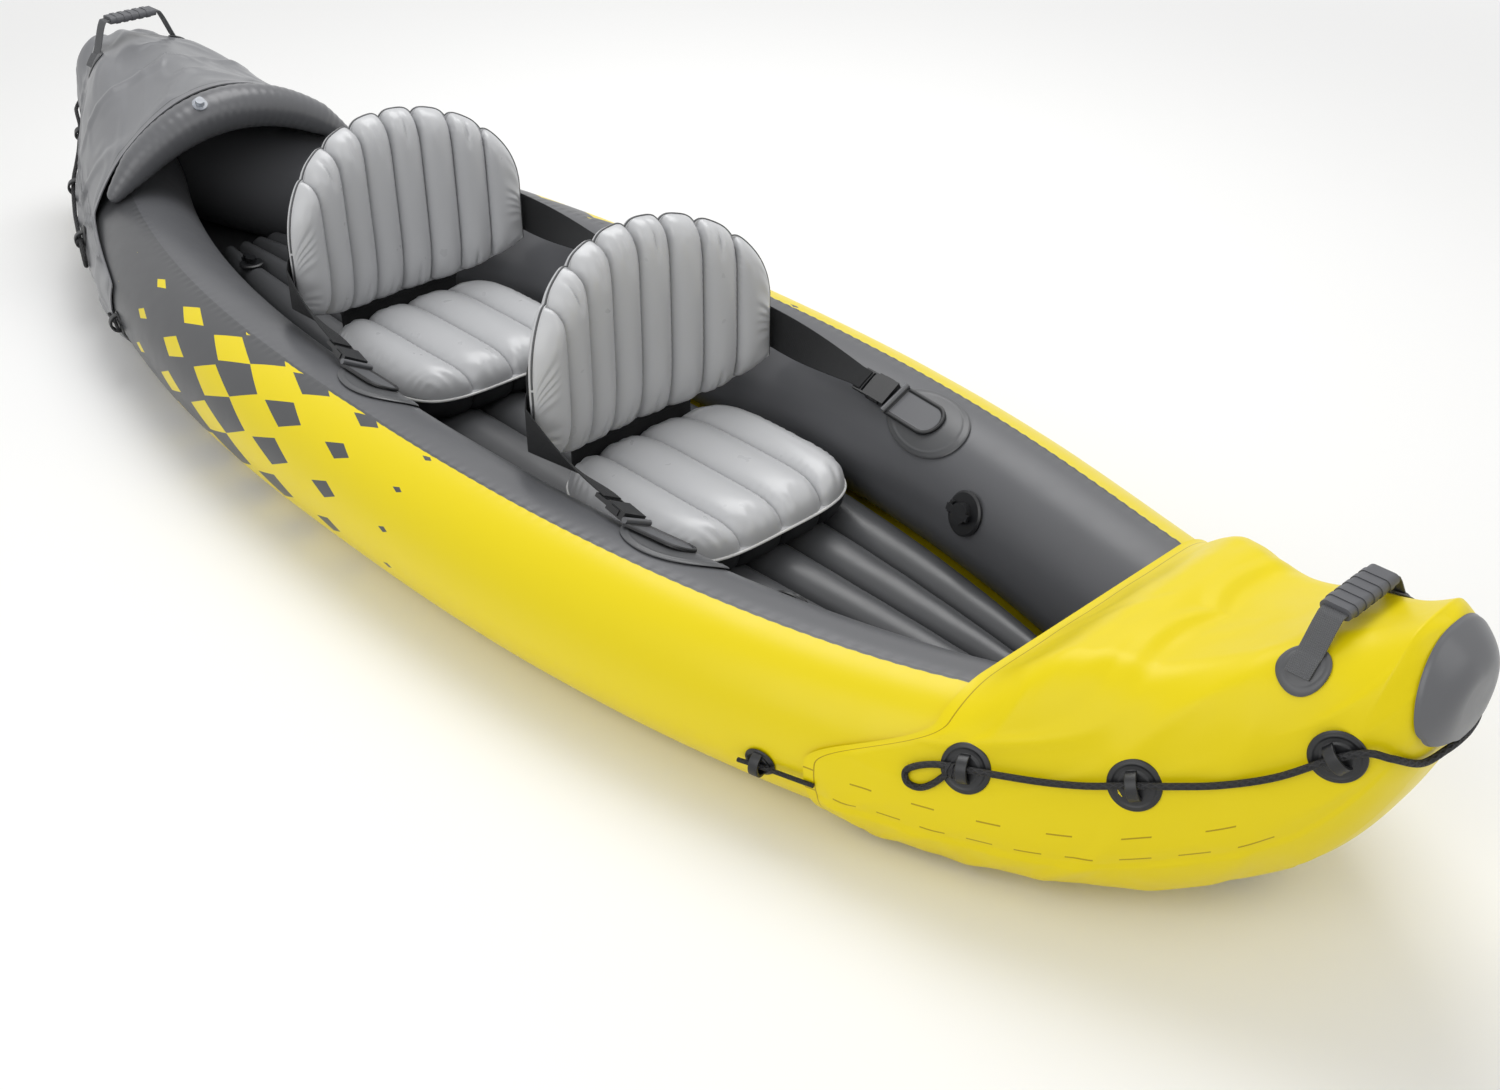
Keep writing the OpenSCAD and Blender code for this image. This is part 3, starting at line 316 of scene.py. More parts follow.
def mirrored(points):
    """The points on the other side of the boat."""
    return points * TO_STARBOARD


def both_sides(port, flip=TO_STARBOARD):
    """A grid from starboard to port, from its port half that starts amidships."""
    return np.concatenate([port[:, :0:-1] * flip, port], axis=1)


def ripples(u, v, size, seed):
    """Uneven waves of about that size: a mean of sines in random directions, from -1 to 1."""
    count = 9
    rng = np.random.default_rng(seed)
    turn = rng.uniform(0, 2 * np.pi, (2, count))
    pitch = size * rng.uniform(0.7, 1.6, count)
    total = sum(
        np.sin(2 * np.pi * (u * np.cos(t) + v * np.sin(t)) / p + phase)
        for t, phase, p in zip(turn[0], turn[1], pitch)
    )
    return total / count


def curve(points, count):
    """Smooth path through the points: a Catmull-Rom spline sampled count times."""
    p = np.asarray(points, float)
    p = np.concatenate([[2 * p[0] - p[1]], p, [2 * p[-1] - p[-2]]])
    t = np.linspace(0, len(p) - 3 - 1e-9, count)
    i = t.astype(int)
    f = (t - i)[:, None]
    a, b, c, d = p[i], p[i + 1], p[i + 2], p[i + 3]
    square, cube = a - 2.5 * b + 2 * c - d / 2, 1.5 * (b - c) + (d - a) / 2
    return b + f * (c - a) / 2 + f ** 2 * square + f ** 3 * cube


def unit(v):
    """The vectors at length 1."""
    return v / np.linalg.norm(v, axis=-1, keepdims=True)


def length_along(path):
    """Length from a path's start to each of its points."""
    return np.concatenate([[0], np.cumsum(np.linalg.norm(np.diff(path, axis=0), axis=1))])


def tube(path, radius, sides=20, up=(0, 0, 1)):
    """Rings of a radius round a path, drawn to a point at both ends, with length and turns as UV."""
    way = unit(np.gradient(path, axis=0))
    across = unit(np.cross(way, up))
    over = np.cross(across, way)
    t = np.linspace(0, 2 * np.pi, sides + 1)[None, :, None]
    r = np.broadcast_to(radius, len(path))[:, None, None]
    rings = path[:, None] + r * (across[:, None] * np.cos(t) + over[:, None] * np.sin(t))
    uv = stack(length_along(path)[:, None], t[..., 0] / (2 * np.pi) / MM, 0)[..., :2]
    return with_poles(rings), with_poles(uv)


def ribbon(path, width, across, thick, corner=16):
    """A strap: a flat superellipse carried along a path, with its width along across."""
    square, soft = 0.12, 0.5
    way = unit(np.gradient(path, axis=0))
    over = unit(np.cross(across, way))
    t = np.linspace(0, 2 * np.pi, 4 * corner + 1)[None, :]
    side = np.sign(np.cos(t)) * np.abs(np.cos(t)) ** square * np.broadcast_to(width, len(path))[:, None] / 2
    rise = np.sign(np.sin(t)) * np.abs(np.sin(t)) ** soft * thick / 2
    rings = path[:, None] + side[..., None] * across[:, None] + rise[..., None] * over[:, None]
    uv = stack(length_along(path)[:, None], side, 0)[..., :2]
    return with_poles(rings), with_poles(uv)


def with_poles(grid):
    """The grid with a row at each end that lies at the middle of the row beside it, so that a tube closes."""
    ends = [np.broadcast_to(row.mean(0), row.shape) for row in (grid[0], grid[-1])]
    return np.concatenate([ends[:1], grid, ends[1:]])


def slab(outer, inner):
    """Grid round a sheet or pad: its outer face, its inner face back again, and closed edges all round."""
    ring = np.concatenate([outer, inner[:, ::-1], outer[:, :1]], axis=1)
    middle = (outer + inner) / 2
    ends = [np.concatenate([m, m[::-1], m[:1]]) for m in (middle[0], middle[-1])]
    return np.concatenate([ends[:1], ring, ends[1:]])


def surface(name, points, uv, finish, body="root", stands_for=(), lining=None):
    """A mesh from a grid of points in mm. Points that meet are merged, and faces turned outward.

    uv has a pair in mm for each point. lining is (finish, column): faces from that column on take it.
    """
    merge, sliver, sharp = 2e-6, 1e-6, 50
    rows, columns = points.shape[:2]
    index = np.arange(rows * columns).reshape(rows, columns)
    quads = np.stack([index[:-1, :-1], index[1:, :-1], index[1:, 1:], index[:-1, 1:]], -1).reshape(-1, 4)
    mesh = bpy.data.meshes.new(name)
    mesh.vertices.add(rows * columns)
    mesh.vertices.foreach_set("co", (points * MM).astype(np.float32).ravel())
    mesh.loops.add(quads.size)
    mesh.loops.foreach_set("vertex_index", quads.astype(np.int32).ravel())
    mesh.polygons.add(len(quads))
    mesh.polygons.foreach_set("loop_start", np.arange(0, quads.size, 4, dtype=np.int32))
    layer = mesh.uv_layers.new(name="UVMap")
    layer.uv.foreach_set("vector", (uv.reshape(-1, 2)[quads.ravel()] * MM).astype(np.float32).ravel())
    mesh.materials.append(finish)
    if lining:
        mesh.materials.append(lining[0])
        inside = np.tile(np.arange(columns - 1) >= lining[1], rows - 1)
        mesh.polygons.foreach_set("material_index", inside.astype(np.int32))
    mesh.update(calc_edges=True)
    work = bmesh.new()
    work.from_mesh(mesh)
    bmesh.ops.remove_doubles(work, verts=work.verts, dist=merge)
    bmesh.ops.dissolve_degenerate(work, edges=work.edges, dist=sliver)
    bmesh.ops.recalc_face_normals(work, faces=work.faces)
    work.to_mesh(mesh)
    work.free()
    mesh.polygons.foreach_set("use_smooth", np.ones(len(mesh.polygons), bool))
    mesh.set_sharp_from_angle(angle=math.radians(sharp))
    obj = bpy.data.objects.new(name, mesh)
    bpy.context.scene.collection.objects.link(obj)
    if body:
        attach(obj, body)
    if stands_for:
        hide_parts(*stands_for)
    return obj


# Finishes, with sizes in mm
# Vinyl: an embossed grain, drawn coarser than real so that it shows, slack dents and patches of sheen
GRAIN = 1.6
GRAIN_DEPTH = 0.03
DENT = 70
SHEEN = 30
SHEEN_LESS = 0.05
SHEEN_MORE = 0.07
# Threads of webbing and cloth, the cloth's drawn coarser than real so that they show, and a weave's tones:
# painted shade where the weave is low and painted highlight where it is high
WEBBING_PITCH = 2.4
CLOTH_PITCH = 1.4
THREAD_DEPTH = 0.35
WEAVE_TONES = {"To Min": 0.75, "To Max": 1.25}
# Strands of rope, with tones from painted shade in the gaps to painted highlight on the tops
ROPE_PITCH = 11
STRANDS = 4
STRAND_DEPTH = 0.8
STRAND_TONES = {"To Min": 0.45, "To Max": 1.3}
# Grain of a spark-eroded mould, drawn coarser than the real one so that it shows
SPARK = 0.9
SPARK_DEPTH = 0.04


def linear(code):
    """Linear colour of an sRGB hex code."""
    s = np.array([int(code[i:i + 2], 16) for i in (1, 3, 5)]) / 255
    return (*np.where(s <= 0.04045, s / 12.92, ((s + 0.055) / 1.055) ** 2.4), 1)


def add(tree, kind, *values, out=0, links=(), **settings):
    """Adds a shader node with its settings and gives one of its outputs.

    values feed its first inputs in order, and links feeds inputs by name or number. Each is a number,
    a colour or a socket.
    """
    node = tree.nodes.new("ShaderNode" + kind)
    for key, value in settings.items():
        setattr(node, key, value)
    for key, value in [*enumerate(values), *dict(links).items()]:
        if isinstance(value, bpy.types.NodeSocket):
            tree.links.new(value, node.inputs[key])
        else:
            node.inputs[key].default_value = value
    return node.outputs[out]


def blank(name):
    """A new material with its tree, its shader and the shader's inputs."""
    made = bpy.data.materials.new(name)
    made.use_nodes = True
    tree = made.node_tree
    return made, tree, tree.nodes["Principled BSDF"].inputs


def vinyl(name, code, rough, paint=None, dents=0.5, shine=0.45):
    """Calendered vinyl sheet: a satin face with a fine embossed grain, patches of sheen and shallow dents."""
    made, tree, face = blank(name)
    place = add(tree, "TexCoord", out="Object")
    emboss = add(tree, "TexNoise", links={"Vector": place, "Scale": 1 / (GRAIN * MM), "Detail": 2.0})
    grain = add(tree, "Bump", links={"Height": emboss, "Strength": 1.0, "Distance": GRAIN_DEPTH * MM})
    slack = add(tree, "TexNoise", links={"Vector": place, "Scale": 1 / (DENT * MM), "Detail": 1.0})
    relief = {"Height": slack, "Strength": 1.0, "Distance": dents * MM, "Normal": grain}
    tree.links.new(add(tree, "Bump", links=relief), face["Normal"])
    sheen = add(tree, "TexNoise", links={"Vector": place, "Scale": 1 / (SHEEN * MM), "Detail": 2.0})
    spread = {"Value": sheen, "To Min": rough - SHEEN_LESS, "To Max": rough + SHEEN_MORE}
    tree.links.new(add(tree, "MapRange", links=spread), face["Roughness"])
    face["Specular IOR Level"].default_value = shine
    face["Base Color"].default_value = linear(code)
    if paint:
        tree.links.new(paint(tree, add(tree, "TexCoord", out="UV")), face["Base Color"])
    return made


def woven(name, code, pitch):
    """Woven webbing or cloth: crossing threads of a pitch in mm, as a product of two sines, and dull, with
    painted shade where the weave is low and painted highlight where it is high.
    """
    made, tree, face = blank(name)
    scale = 2 * math.pi / (pitch * MM)
    uv = add(tree, "TexCoord", out="UV")
    threads = add(tree, "VectorMath", uv, (scale, scale, 1), operation="MULTIPLY")
    warp = add(tree, "Math", add(tree, "SeparateXYZ", threads, out="X"), operation="SINE")
    weft = add(tree, "Math", add(tree, "SeparateXYZ", threads, out="Y"), operation="SINE")
    weave = add(tree, "Math", warp, weft, operation="MULTIPLY")
    relief = {"Height": weave, "Strength": 1.0, "Distance": THREAD_DEPTH * MM}
    tree.links.new(add(tree, "Bump", links=relief), face["Normal"])
    tone = add(tree, "MapRange", links={"Value": weave, "From Min": -1.0, **WEAVE_TONES})
    tint = add(tree, "VectorMath", linear(code)[:3], tone, operation="MULTIPLY")
    tree.links.new(tint, face["Base Color"])
    face["Roughness"].default_value = 0.85
    return made


def braided(name, code, pitch):
    """Braided rope: two sets of strands, as sines that wind opposite ways with a pitch in mm, darker in the
    gaps and lighter on the tops as painted shade and highlight.

    UV has length and turns.
    """
    made, tree, face = blank(name)
    uv = add(tree, "TexCoord", out="UV")
    length, turn = add(tree, "SeparateXYZ", uv, out="X"), add(tree, "SeparateXYZ", uv, out="Y")
    along = add(tree, "Math", length, 2 * math.pi / (pitch * MM), operation="MULTIPLY")
    turns = add(tree, "Math", turn, STRANDS * 2 * math.pi, operation="MULTIPLY")
    right = add(tree, "Math", add(tree, "Math", along, turns, operation="ADD"), operation="SINE")
    left = add(tree, "Math", add(tree, "Math", along, turns, operation="SUBTRACT"), operation="SINE")
    strands = add(tree, "Math", right, left, operation="MAXIMUM")
    relief = {"Height": strands, "Strength": 1.0, "Distance": STRAND_DEPTH * MM}
    tree.links.new(add(tree, "Bump", links=relief), face["Normal"])
    tone = add(tree, "MapRange", links={"Value": strands, "From Min": -1.0, **STRAND_TONES})
    tint = add(tree, "VectorMath", linear(code)[:3], tone, operation="MULTIPLY")
    tree.links.new(tint, face["Base Color"])
    face["Roughness"].default_value = 0.7
    return made


def moulded(name, code, rough, clear=0.0):
    """Injection-moulded plastic or rubber: an even colour with a fine spark-eroded grain."""
    made, tree, face = blank(name)
    place = add(tree, "TexCoord", out="Object")
    grain = add(tree, "TexNoise", links={"Vector": place, "Scale": 1 / (SPARK * MM), "Detail": 2.0})
    relief = {"Height": grain, "Strength": 1.0, "Distance": SPARK_DEPTH * MM}
    tree.links.new(add(tree, "Bump", links=relief), face["Normal"])
    face["Base Color"].default_value = linear(code)
    face["Roughness"].default_value = rough
    face["Transmission Weight"].default_value = clear
    return made


# Colours from the photograph
YELLOW = "#E8D200"
YELLOW_WELD = "#B09400"
HULL_GREY = "#5C5D60"
DARK_GREY = "#4C4D4F"
COVER_GREY = "#77787B"
GREY_WELD = "#4A4B4D"
SEAT_GREY = "#BFC0C2"
PIPING_WHITE = "#E4E4E2"
WEBBING_GREY = "#5E5F61"
RUBBER_GREY = "#55565A"
CLEAR_TINT = "#C9CED6"
BLACK = "#17181A"
ROPE_BLACK = "#1B1B1D"
FLOOR_WHITE = "#F7F7F6"

# Side livery, a plain field of lozenges that grows from grey to yellow: sizes in mm
LOZENGE_LEN = 150
LOZENGE_H = 62
FADE_FROM = -760
FADE_TO = 300
SEAM_LINE = 2.2
STEM_FROM = 1250
# Other marks in mm: a tab's dark border, the place where the floor turns dark with painted shade, and the
# weld dashes on a cover
TAB_LINE = 6.5
DARK_FROM = -600
FOLD_IN = 14
FOLD_LINE = 0.9
DASH_LEN = 26
DASH_LINE = 1.2
DASH_UP = 84
DASH_ROWS = 34


def side_livery(tree, uv):
    """Grey top and inner panel, and an outer panel whose yellow lozenges grow until they meet.

    A lozenge is where the distances to its middle along and round the chamber add up to less than the fade.
    UV is the place along the hull and the arc round the chamber, from the chamber's outermost line.
    """
    x, arc = add(tree, "SeparateXYZ", uv, out="X"), add(tree, "SeparateXYZ", uv, out="Y")
    lengths = add(tree, "Math", x, LOZENGE_LEN * MM, operation="DIVIDE")
    heights = add(tree, "Math", arc, LOZENGE_H * MM, operation="DIVIDE")
    along = add(tree, "Math", lengths, 0.5, operation="PINGPONG")
    around = add(tree, "Math", heights, 0.5, operation="PINGPONG")
    fade = {"Value": x, "From Min": FADE_FROM * MM, "From Max": FADE_TO * MM}
    grown = add(tree, "MapRange", links=fade, clamp=False)
    from_middle = add(tree, "Math", along, around, operation="ADD")
    yellow = add(tree, "Math", from_middle, grown, operation="LESS_THAN")
    tones = {0: yellow, 6: linear(DARK_GREY), 7: linear(YELLOW)}
    outer = add(tree, "Mix", links=tones, out=2, data_type="RGBA")
    seam = math.radians(PANEL_SEAM) * CHAMBER_R * MM
    above = add(tree, "Math", arc, seam, operation="GREATER_THAN")
    behind = add(tree, "Math", x, STEM_FROM * MM, operation="LESS_THAN")
    inside = add(tree, "Math", above, behind, operation="MULTIPLY")
    panel = add(tree, "Mix", links={0: inside, 6: outer, 7: linear(HULL_GREY)}, out=2, data_type="RGBA")
    line = add(tree, "Math", arc, seam, SEAM_LINE * MM, operation="COMPARE")
    return add(tree, "Mix", links={0: line, 6: panel, 7: linear(DARK_GREY)}, out=2, data_type="RGBA")


def tab_border(tree, uv):
    """Grey with a dark border, from the distance to the tab's edge in UV."""
    border = add(tree, "Math", add(tree, "SeparateXYZ", uv, out="X"), TAB_LINE * MM, operation="LESS_THAN")
    tones = {0: border, 6: linear(HULL_GREY), 7: linear(BLACK)}
    return add(tree, "Mix", links=tones, out=2, data_type="RGBA")


def dark_aft(tree, uv):
    """Yellow that turns dark grey behind the seats, painted shade in the stern of the cockpit, from the place
    along the hull.
    """
    aft = add(tree, "Math", add(tree, "SeparateXYZ", uv, out="X"), DARK_FROM * MM, operation="LESS_THAN")
    tones = {0: aft, 6: linear(YELLOW), 7: linear(DARK_GREY)}
    return add(tree, "Mix", links=tones, out=2, data_type="RGBA")


def weld_marks(code, weld):
    """Paint for a cover: plain, with a weld line along the edge and two rows of weld dashes by the hem."""

    def paint(tree, uv):
        x, arc = add(tree, "SeparateXYZ", uv, out="X"), add(tree, "SeparateXYZ", uv, out="Y")
        marks = add(tree, "Math", x, FOLD_IN * MM, FOLD_LINE * MM, operation="COMPARE")
        for up, pitch, dash in ((DASH_UP, 1.0, 0.55), (DASH_UP + DASH_ROWS, 1.4, 0.5)):
            row = add(tree, "Math", arc, up * MM, DASH_LINE * MM, operation="COMPARE")
            beat = add(tree, "Math", x, pitch * DASH_LEN * MM, operation="PINGPONG")
            on = add(tree, "Math", beat, dash * DASH_LEN * MM, operation="LESS_THAN")
            dashes = add(tree, "Math", row, on, operation="MULTIPLY")
            marks = add(tree, "Math", marks, dashes, operation="MAXIMUM")
        return add(tree, "Mix", links={0: marks, 6: linear(code), 7: linear(weld)}, out=2, data_type="RGBA")

    return paint


FINISH = {
    # Printed vinyl, calendered: satin yellow and grey panels with soft highlights
    "side": vinyl("printed_calendered_vinyl", YELLOW, 0.33, side_livery, 0.4, 0.36),
    # Plain vinyl, calendered: satin, with broad soft highlights on the round of a chamber
    "yellow": vinyl("yellow_calendered_vinyl", YELLOW, 0.36, None, 0.4, 0.28),
    "grey": vinyl("grey_calendered_vinyl", HULL_GREY, 0.33, None, 0.5, 0.6),
    "dark": vinyl("dark_calendered_vinyl", DARK_GREY, 0.36, None, 0.5, 0.5),
    "black": vinyl("black_calendered_vinyl", BLACK, 0.5),
    # The floor's face inside the boat, with painted shade behind the seats
    "inside": vinyl("floor_calendered_vinyl", YELLOW, 0.42, dark_aft),
    # Cover vinyl, calendered and welded: thinner and slack, so that highlights break up on its dents
    "bow_cover": vinyl("yellow_cover_vinyl", YELLOW, 0.38, weld_marks(YELLOW, YELLOW_WELD), 1.6, 0.28),
    "stern_cover": vinyl("grey_cover_vinyl", COVER_GREY, 0.33, weld_marks(COVER_GREY, GREY_WELD), 1.8, 0.6),
    # Seat vinyl, welded in channels: taut and glossier
    "seat": vinyl("silver_welded_vinyl", SEAT_GREY, 0.29, None, 0.4, 0.55),
    "piping": vinyl("white_welded_piping", PIPING_WHITE, 0.4),
    "tab": vinyl("grey_tab_vinyl", HULL_GREY, 0.42, tab_border),
    # Polyester cloth and webbing, woven: dull, with a visible weave and painted shade in its low points
    "cloth": woven("black_woven_cloth", BLACK, CLOTH_PITCH),
    "webbing": woven("black_woven_webbing", BLACK, WEBBING_PITCH),
    "grey_webbing": woven("grey_woven_webbing", WEBBING_GREY, WEBBING_PITCH),
    # Polypropylene rope, braided: crossing strands with painted shade in the gaps
    "rope": braided("black_braided_rope", ROPE_BLACK, ROPE_PITCH),
    # Nylon and rubber fittings, injection-moulded: an even colour and a dull shine
    "plastic": moulded("black_moulded_plastic", BLACK, 0.4),
    "rubber": moulded("grey_moulded_rubber", RUBBER_GREY, 0.55),
    "clear": moulded("clear_moulded_plastic", CLEAR_TINT, 0.2, 0.5),
}
SLOT_FINISH = {
    "yellow_vinyl": "yellow", "grey_vinyl": "grey", "dark_vinyl": "dark", "black_vinyl": "black",
    "seat_vinyl": "seat", "black_cloth": "cloth", "black_webbing": "webbing", "grey_webbing": "grey_webbing",
    "black_rope": "rope", "black_plastic": "plastic", "grey_rubber": "rubber", "clear_plastic": "clear",
}

# Studio in metres and watts: reach of the floor, where it fades to white, strength of the sky, and lamps
FLOOR_REACH = 14
FADE_NEAR = 2.2
FADE_FAR = 5.0
SKY = 0.5
LAMPS_AT = Vector((0.2, 0, 0.2))
LAMPS = [
    ("top", (-0.9, 1.1, 3.5), 2.6, 84),
    ("fill", (1.2, -2.9, 2.3), 2.6, 36),
    ("bow", (3.4, 0.6, 2.4), 2.2, 16),
]


def photo_camera():
    """The photograph's camera."""
    scene = bpy.context.scene
    eye = bpy.data.objects.new("photo_camera", bpy.data.cameras.new("photo_camera"))
    eye.data.lens = CAMERA_LENS
    eye.data.shift_x = CAMERA_SHIFT
    eye.data.sensor_width = CAMERA_SENSOR
    eye.location = CAMERA_AT
    eye.rotation_euler = Vector(CAMERA_LOOK).to_track_quat("-Z", "Y").to_euler()
    scene.collection.objects.link(eye)
    scene.camera = eye
    scene.view_settings.view_transform = "Standard"


def shows_backdrop(tree):
    """1 for a ray that shows the backdrop: from the camera, off a glossy face or through a clear one."""
    rays = [add(tree, "LightPath", out="Is %s Ray" % kind) for kind in ("Camera", "Glossy", "Transmission")]
    passed_on = add(tree, "Math", *rays[1:], operation="MAXIMUM")
    return add(tree, "Math", rays[0], passed_on, operation="MAXIMUM")


def studio():
    """A matt painted floor that turns white with distance, a white sky, and soft lamps aimed at the boat."""
    scene = bpy.context.scene
    made, tree, face = blank("pale_floor_paint")
    face["Base Color"].default_value = linear(FLOOR_WHITE)
    face["Roughness"].default_value = 0.8
    away = add(tree, "VectorMath", add(tree, "TexCoord", out="Object"), operation="LENGTH", out="Value")
    far = add(tree, "MapRange", links={"Value": away, "From Min": FADE_NEAR, "From Max": FADE_FAR})
    white = add(tree, "Math", far, shows_backdrop(tree), operation="MULTIPLY")
    glow = add(tree, "Emission", (1, 1, 1, 1), 1.0)
    both = add(tree, "MixShader", white, tree.nodes["Principled BSDF"].outputs[0], glow)
    tree.links.new(both, tree.nodes["Material Output"].inputs[0])
    sheet = bpy.data.meshes.new("floor")
    corners = [(FLOOR_REACH * x, FLOOR_REACH * y, 0) for x, y in ((-1, -1), (1, -1), (1, 1), (-1, 1))]
    sheet.from_pydata(corners, [], [(0, 1, 2, 3)])
    sheet.materials.append(made)
    floor = bpy.data.objects.new("floor", sheet)
    scene.collection.objects.link(floor)
    scene.world = bpy.data.worlds.new("studio")
    scene.world.use_nodes = True
    sky = scene.world.node_tree
    strength = add(sky, "MapRange", links={"Value": shows_backdrop(sky), "To Min": SKY, "To Max": 1.0})
    sky.nodes["Background"].inputs["Color"].default_value = (1, 1, 1, 1)
    sky.links.new(strength, sky.nodes["Background"].inputs["Strength"])
    for name, place, size, watts in LAMPS:
        lamp = bpy.data.lights.new(name, "AREA")
        lamp.size = size
        lamp.energy = watts
        stand = bpy.data.objects.new(name, lamp)
        stand.location = place
        stand.rotation_euler = (LAMPS_AT - Vector(place)).to_track_quat("-Z", "Y").to_euler()
        scene.collection.objects.link(stand)


photo_camera()
studio()


# Chamber skin: how far it may stand proud, its weld and the puckers beside it in mm, with widths in degrees
SKIN_PROUD = 0.6
WELD_RISE = 0.8
WELD_WIDTH = 1.3
PUCKER_RISE = 0.7
PUCKER_PITCH = 21
PUCKER_WIDTH = 4.5
SKIN_SLACK = 0.5
SKIN_WAVE = 170
MIDDLE_GAP = 0.2
# Bottom panel: the angle it laps up to, and the gap under the chambers
BOTTOM_LAP = -60
BOTTOM_GAP = 0.8
# Floor mat: depth of its valleys, share of height at its ends, and its puckers and slack
MAT_VALLEY = 0.45
MAT_END = 60
MAT_END_SHARE = 0.35
MAT_PUCKER = 1.3
MAT_PUCKER_PITCH = 19
MAT_SLACK = 0.7
MAT_WAVE = 90
MAT_TUCK = 1.5
MAT_GAP = 0.2
# Covers: angle where a flap's sweep starts and its width
# A rise gives the height of folds or creases on deck and by the hem
FLAP_FROM = {"bow": 5, "stern": 22}
FLAP_SWEEP = {"bow": 45, "stern": 20}
SLACK_SHARE = {"bow": 1, "stern": 1.6}
FOLD_RISE = (2.6, 3.4)
FOLD_SIZE = 210
FOLD_SHARE = 0.16
CREASE_RISE = (1.4, 2.6)
CREASE_SIZE = 120
CREASE_SHARE = 0.2
HEM_ZONE = 160
EDGE_HOLD = 30
NOSE_HOLD = 60
INNER_SLACK = 0.6
# The loose skirt below the dashes, and the plain zone by the nose, where a shift hides the dashes
SKIRT = 76
SKIRT_EASE = 8
SKIRT_STAND = 3.4
SKIRT_WAVE = 2.6
SKIRT_SIZE = 55
PLAIN_ZONE = 90
PLAIN_SHIFT = 500
# Coaming: skin set back, puckers, and the share of its length that rounds off
COAMING_INSET = 0.5
COAMING_PUCKER = 0.35
COAMING_PITCH = 17
COAMING_ROUND = 0.05
# Bolster: half its width, rise, gap on the chambers, and where it ends round them
BOLSTER_HALF = 50
BOLSTER_RISE = 33
BOLSTER_LEAST = 1
BOLSTER_GAP = 2.3
BOLSTER_END = 40
BOLSTER_LAP = 0.6
# Nose patches: reach back from the tip in degrees at the sides, what the top has more, and share at the foot
NOSE_SIDE = 24
NOSE_TOP = 18
NOSE_FOOT = 0.25
NOSE_EDGE_DROP = 2.4
# Dark patch under the forefoot, partly the bottom's dark panel and partly painted contact shadow: middle's
# distance from the bow, half length, half width, thickness and gap
DARK_PATCH_BACK = 290
DARK_PATCH_HALF_LEN = 110
DARK_PATCH_HALF_W = 60
DARK_PATCH_T = 3
DARK_PATCH_GAP = 0.4


def swell(t, power):
    """Share of full height across an inflated pad: a quarter of a superellipse with one power."""
    return np.sqrt(np.maximum(0, 1 - np.abs(t) ** power))


def channel_place(c, count):
    """Place within a channel, from -1 at one weld to 1 at the next."""
    return 2 * (c - np.floor(np.minimum(c, count - 1e-6))) - 1


def channel(w, depth):
    """Share of full height within a channel: a half circle that dips by a depth at the welds."""
    return 1 - depth + depth * np.sqrt(np.maximum(0, 1 - w * w))


def crowded(c):
    """Places along a row of channels, moved towards the welds between them so that a crease stays sharp."""
    whole = np.floor(c + 1e-9)
    return whole + (1 - np.cos(np.pi * (c - whole))) / 2


def toward_ends(count):
    """Places from -1 to 1 that lie closer together at both ends, by a cubic."""
    f = np.linspace(-1, 1, count)
    return 1.5 * f - 0.5 * f ** 3


def chamber(side):
    """Side chamber: an oval carried along the hull's curved centre line, closed at both ends.

    Its skin has a raised weld along the panel seam, with small puckers beside it, and slack waves.
    """
    quarter = np.radians(np.linspace(0, 90, 26))[1:]
    end = CAP_START + END_ROUND * np.sin(quarter)
    x = np.concatenate([-end[::-1], np.linspace(-CAP_START, CAP_START, 470), end])[:, None]
    a = np.linspace(-90, 270, 151)[None, :]
    weld = WELD_RISE * (bell(a - PANEL_SEAM, WELD_WIDTH) - 1)
    pucker = PUCKER_RISE * bell(a - PANEL_SEAM, PUCKER_WIDTH) * wave(x, PUCKER_PITCH)
    off = weld + pucker + SKIN_SLACK * ripples(x, 2 * a, SKIN_WAVE, 3 + side)
    points = shell(x, a, np.minimum(SKIN_PROUD, off) * cap(x))
    points[..., 1] = np.maximum(points[..., 1], MIDDLE_GAP) * side
    uv = stack(x, np.radians(a) * CHAMBER_R, 0)[..., :2]
    obj = surface(SIDE[side] + "_chamber_skin", with_poles(points), with_poles(uv), FINISH["side"],
                  stands_for=[SIDE[side] + "_side_chamber"])


def bottom_panel():
    """Bottom panel: a sheet that is flat between the chambers and laps up round both."""
    steps = 12
    x = (CAP_START * toward_ends(240))[:, None]
    a = np.linspace(-90, BOTTOM_LAP, steps)[None, :]

    def face(off):
        lap = shell(x, a, off)
        flat = lap[:, :1] * stack(1, np.linspace(0, 1, steps)[:-1], 1)
        return both_sides(np.concatenate([flat, lap], axis=1))

    outer, inner = face(BASE_Z), face(BOTTOM_GAP)
    points = slab(outer, inner)
    surface("bottom_panel_sheet", points, points[..., :2], FINISH["yellow"],
            stands_for=["hull_bottom"], lining=(FINISH["inside"], outer.shape[1]))


def mat():
    """Floor mat: lengthwise beams with a round crown each and small puckers in the valleys between them."""
    x = mix(MAT_BACK, MAT_FRONT, (1 + toward_ends(270)) / 2)[:, None]
    c = np.linspace(0, MAT_BEAMS, MAT_BEAMS * 22 + 1)[None, :]
    w = channel_place(c, MAT_BEAMS)
    to_end = np.minimum(MAT_FRONT - x, x - MAT_BACK)
    up = MAT_HEIGHT * mix(MAT_END_SHARE, 1, smooth(to_end / MAT_END)) * channel(w, MAT_VALLEY)
    pucker = MAT_PUCKER * np.abs(w) ** 6 * wave(x, MAT_PUCKER_PITCH, 2 * np.floor(c))
    slack = MAT_SLACK * ripples(x, MAT_WAVE * c, MAT_WAVE, 5)
    y = (side_y(x) - MAT_INSET) * (2 * c / MAT_BEAMS - 1)
    top = stack(x, y, BASE_Z + up + pucker + slack - MAT_TUCK)
    points = slab(top, stack(x, y, low_z(x) + MAT_GAP))
    obj = surface("floor_mat_pad", points, points[..., :2], FINISH["dark"],
                  stands_for=["floor_mat"])


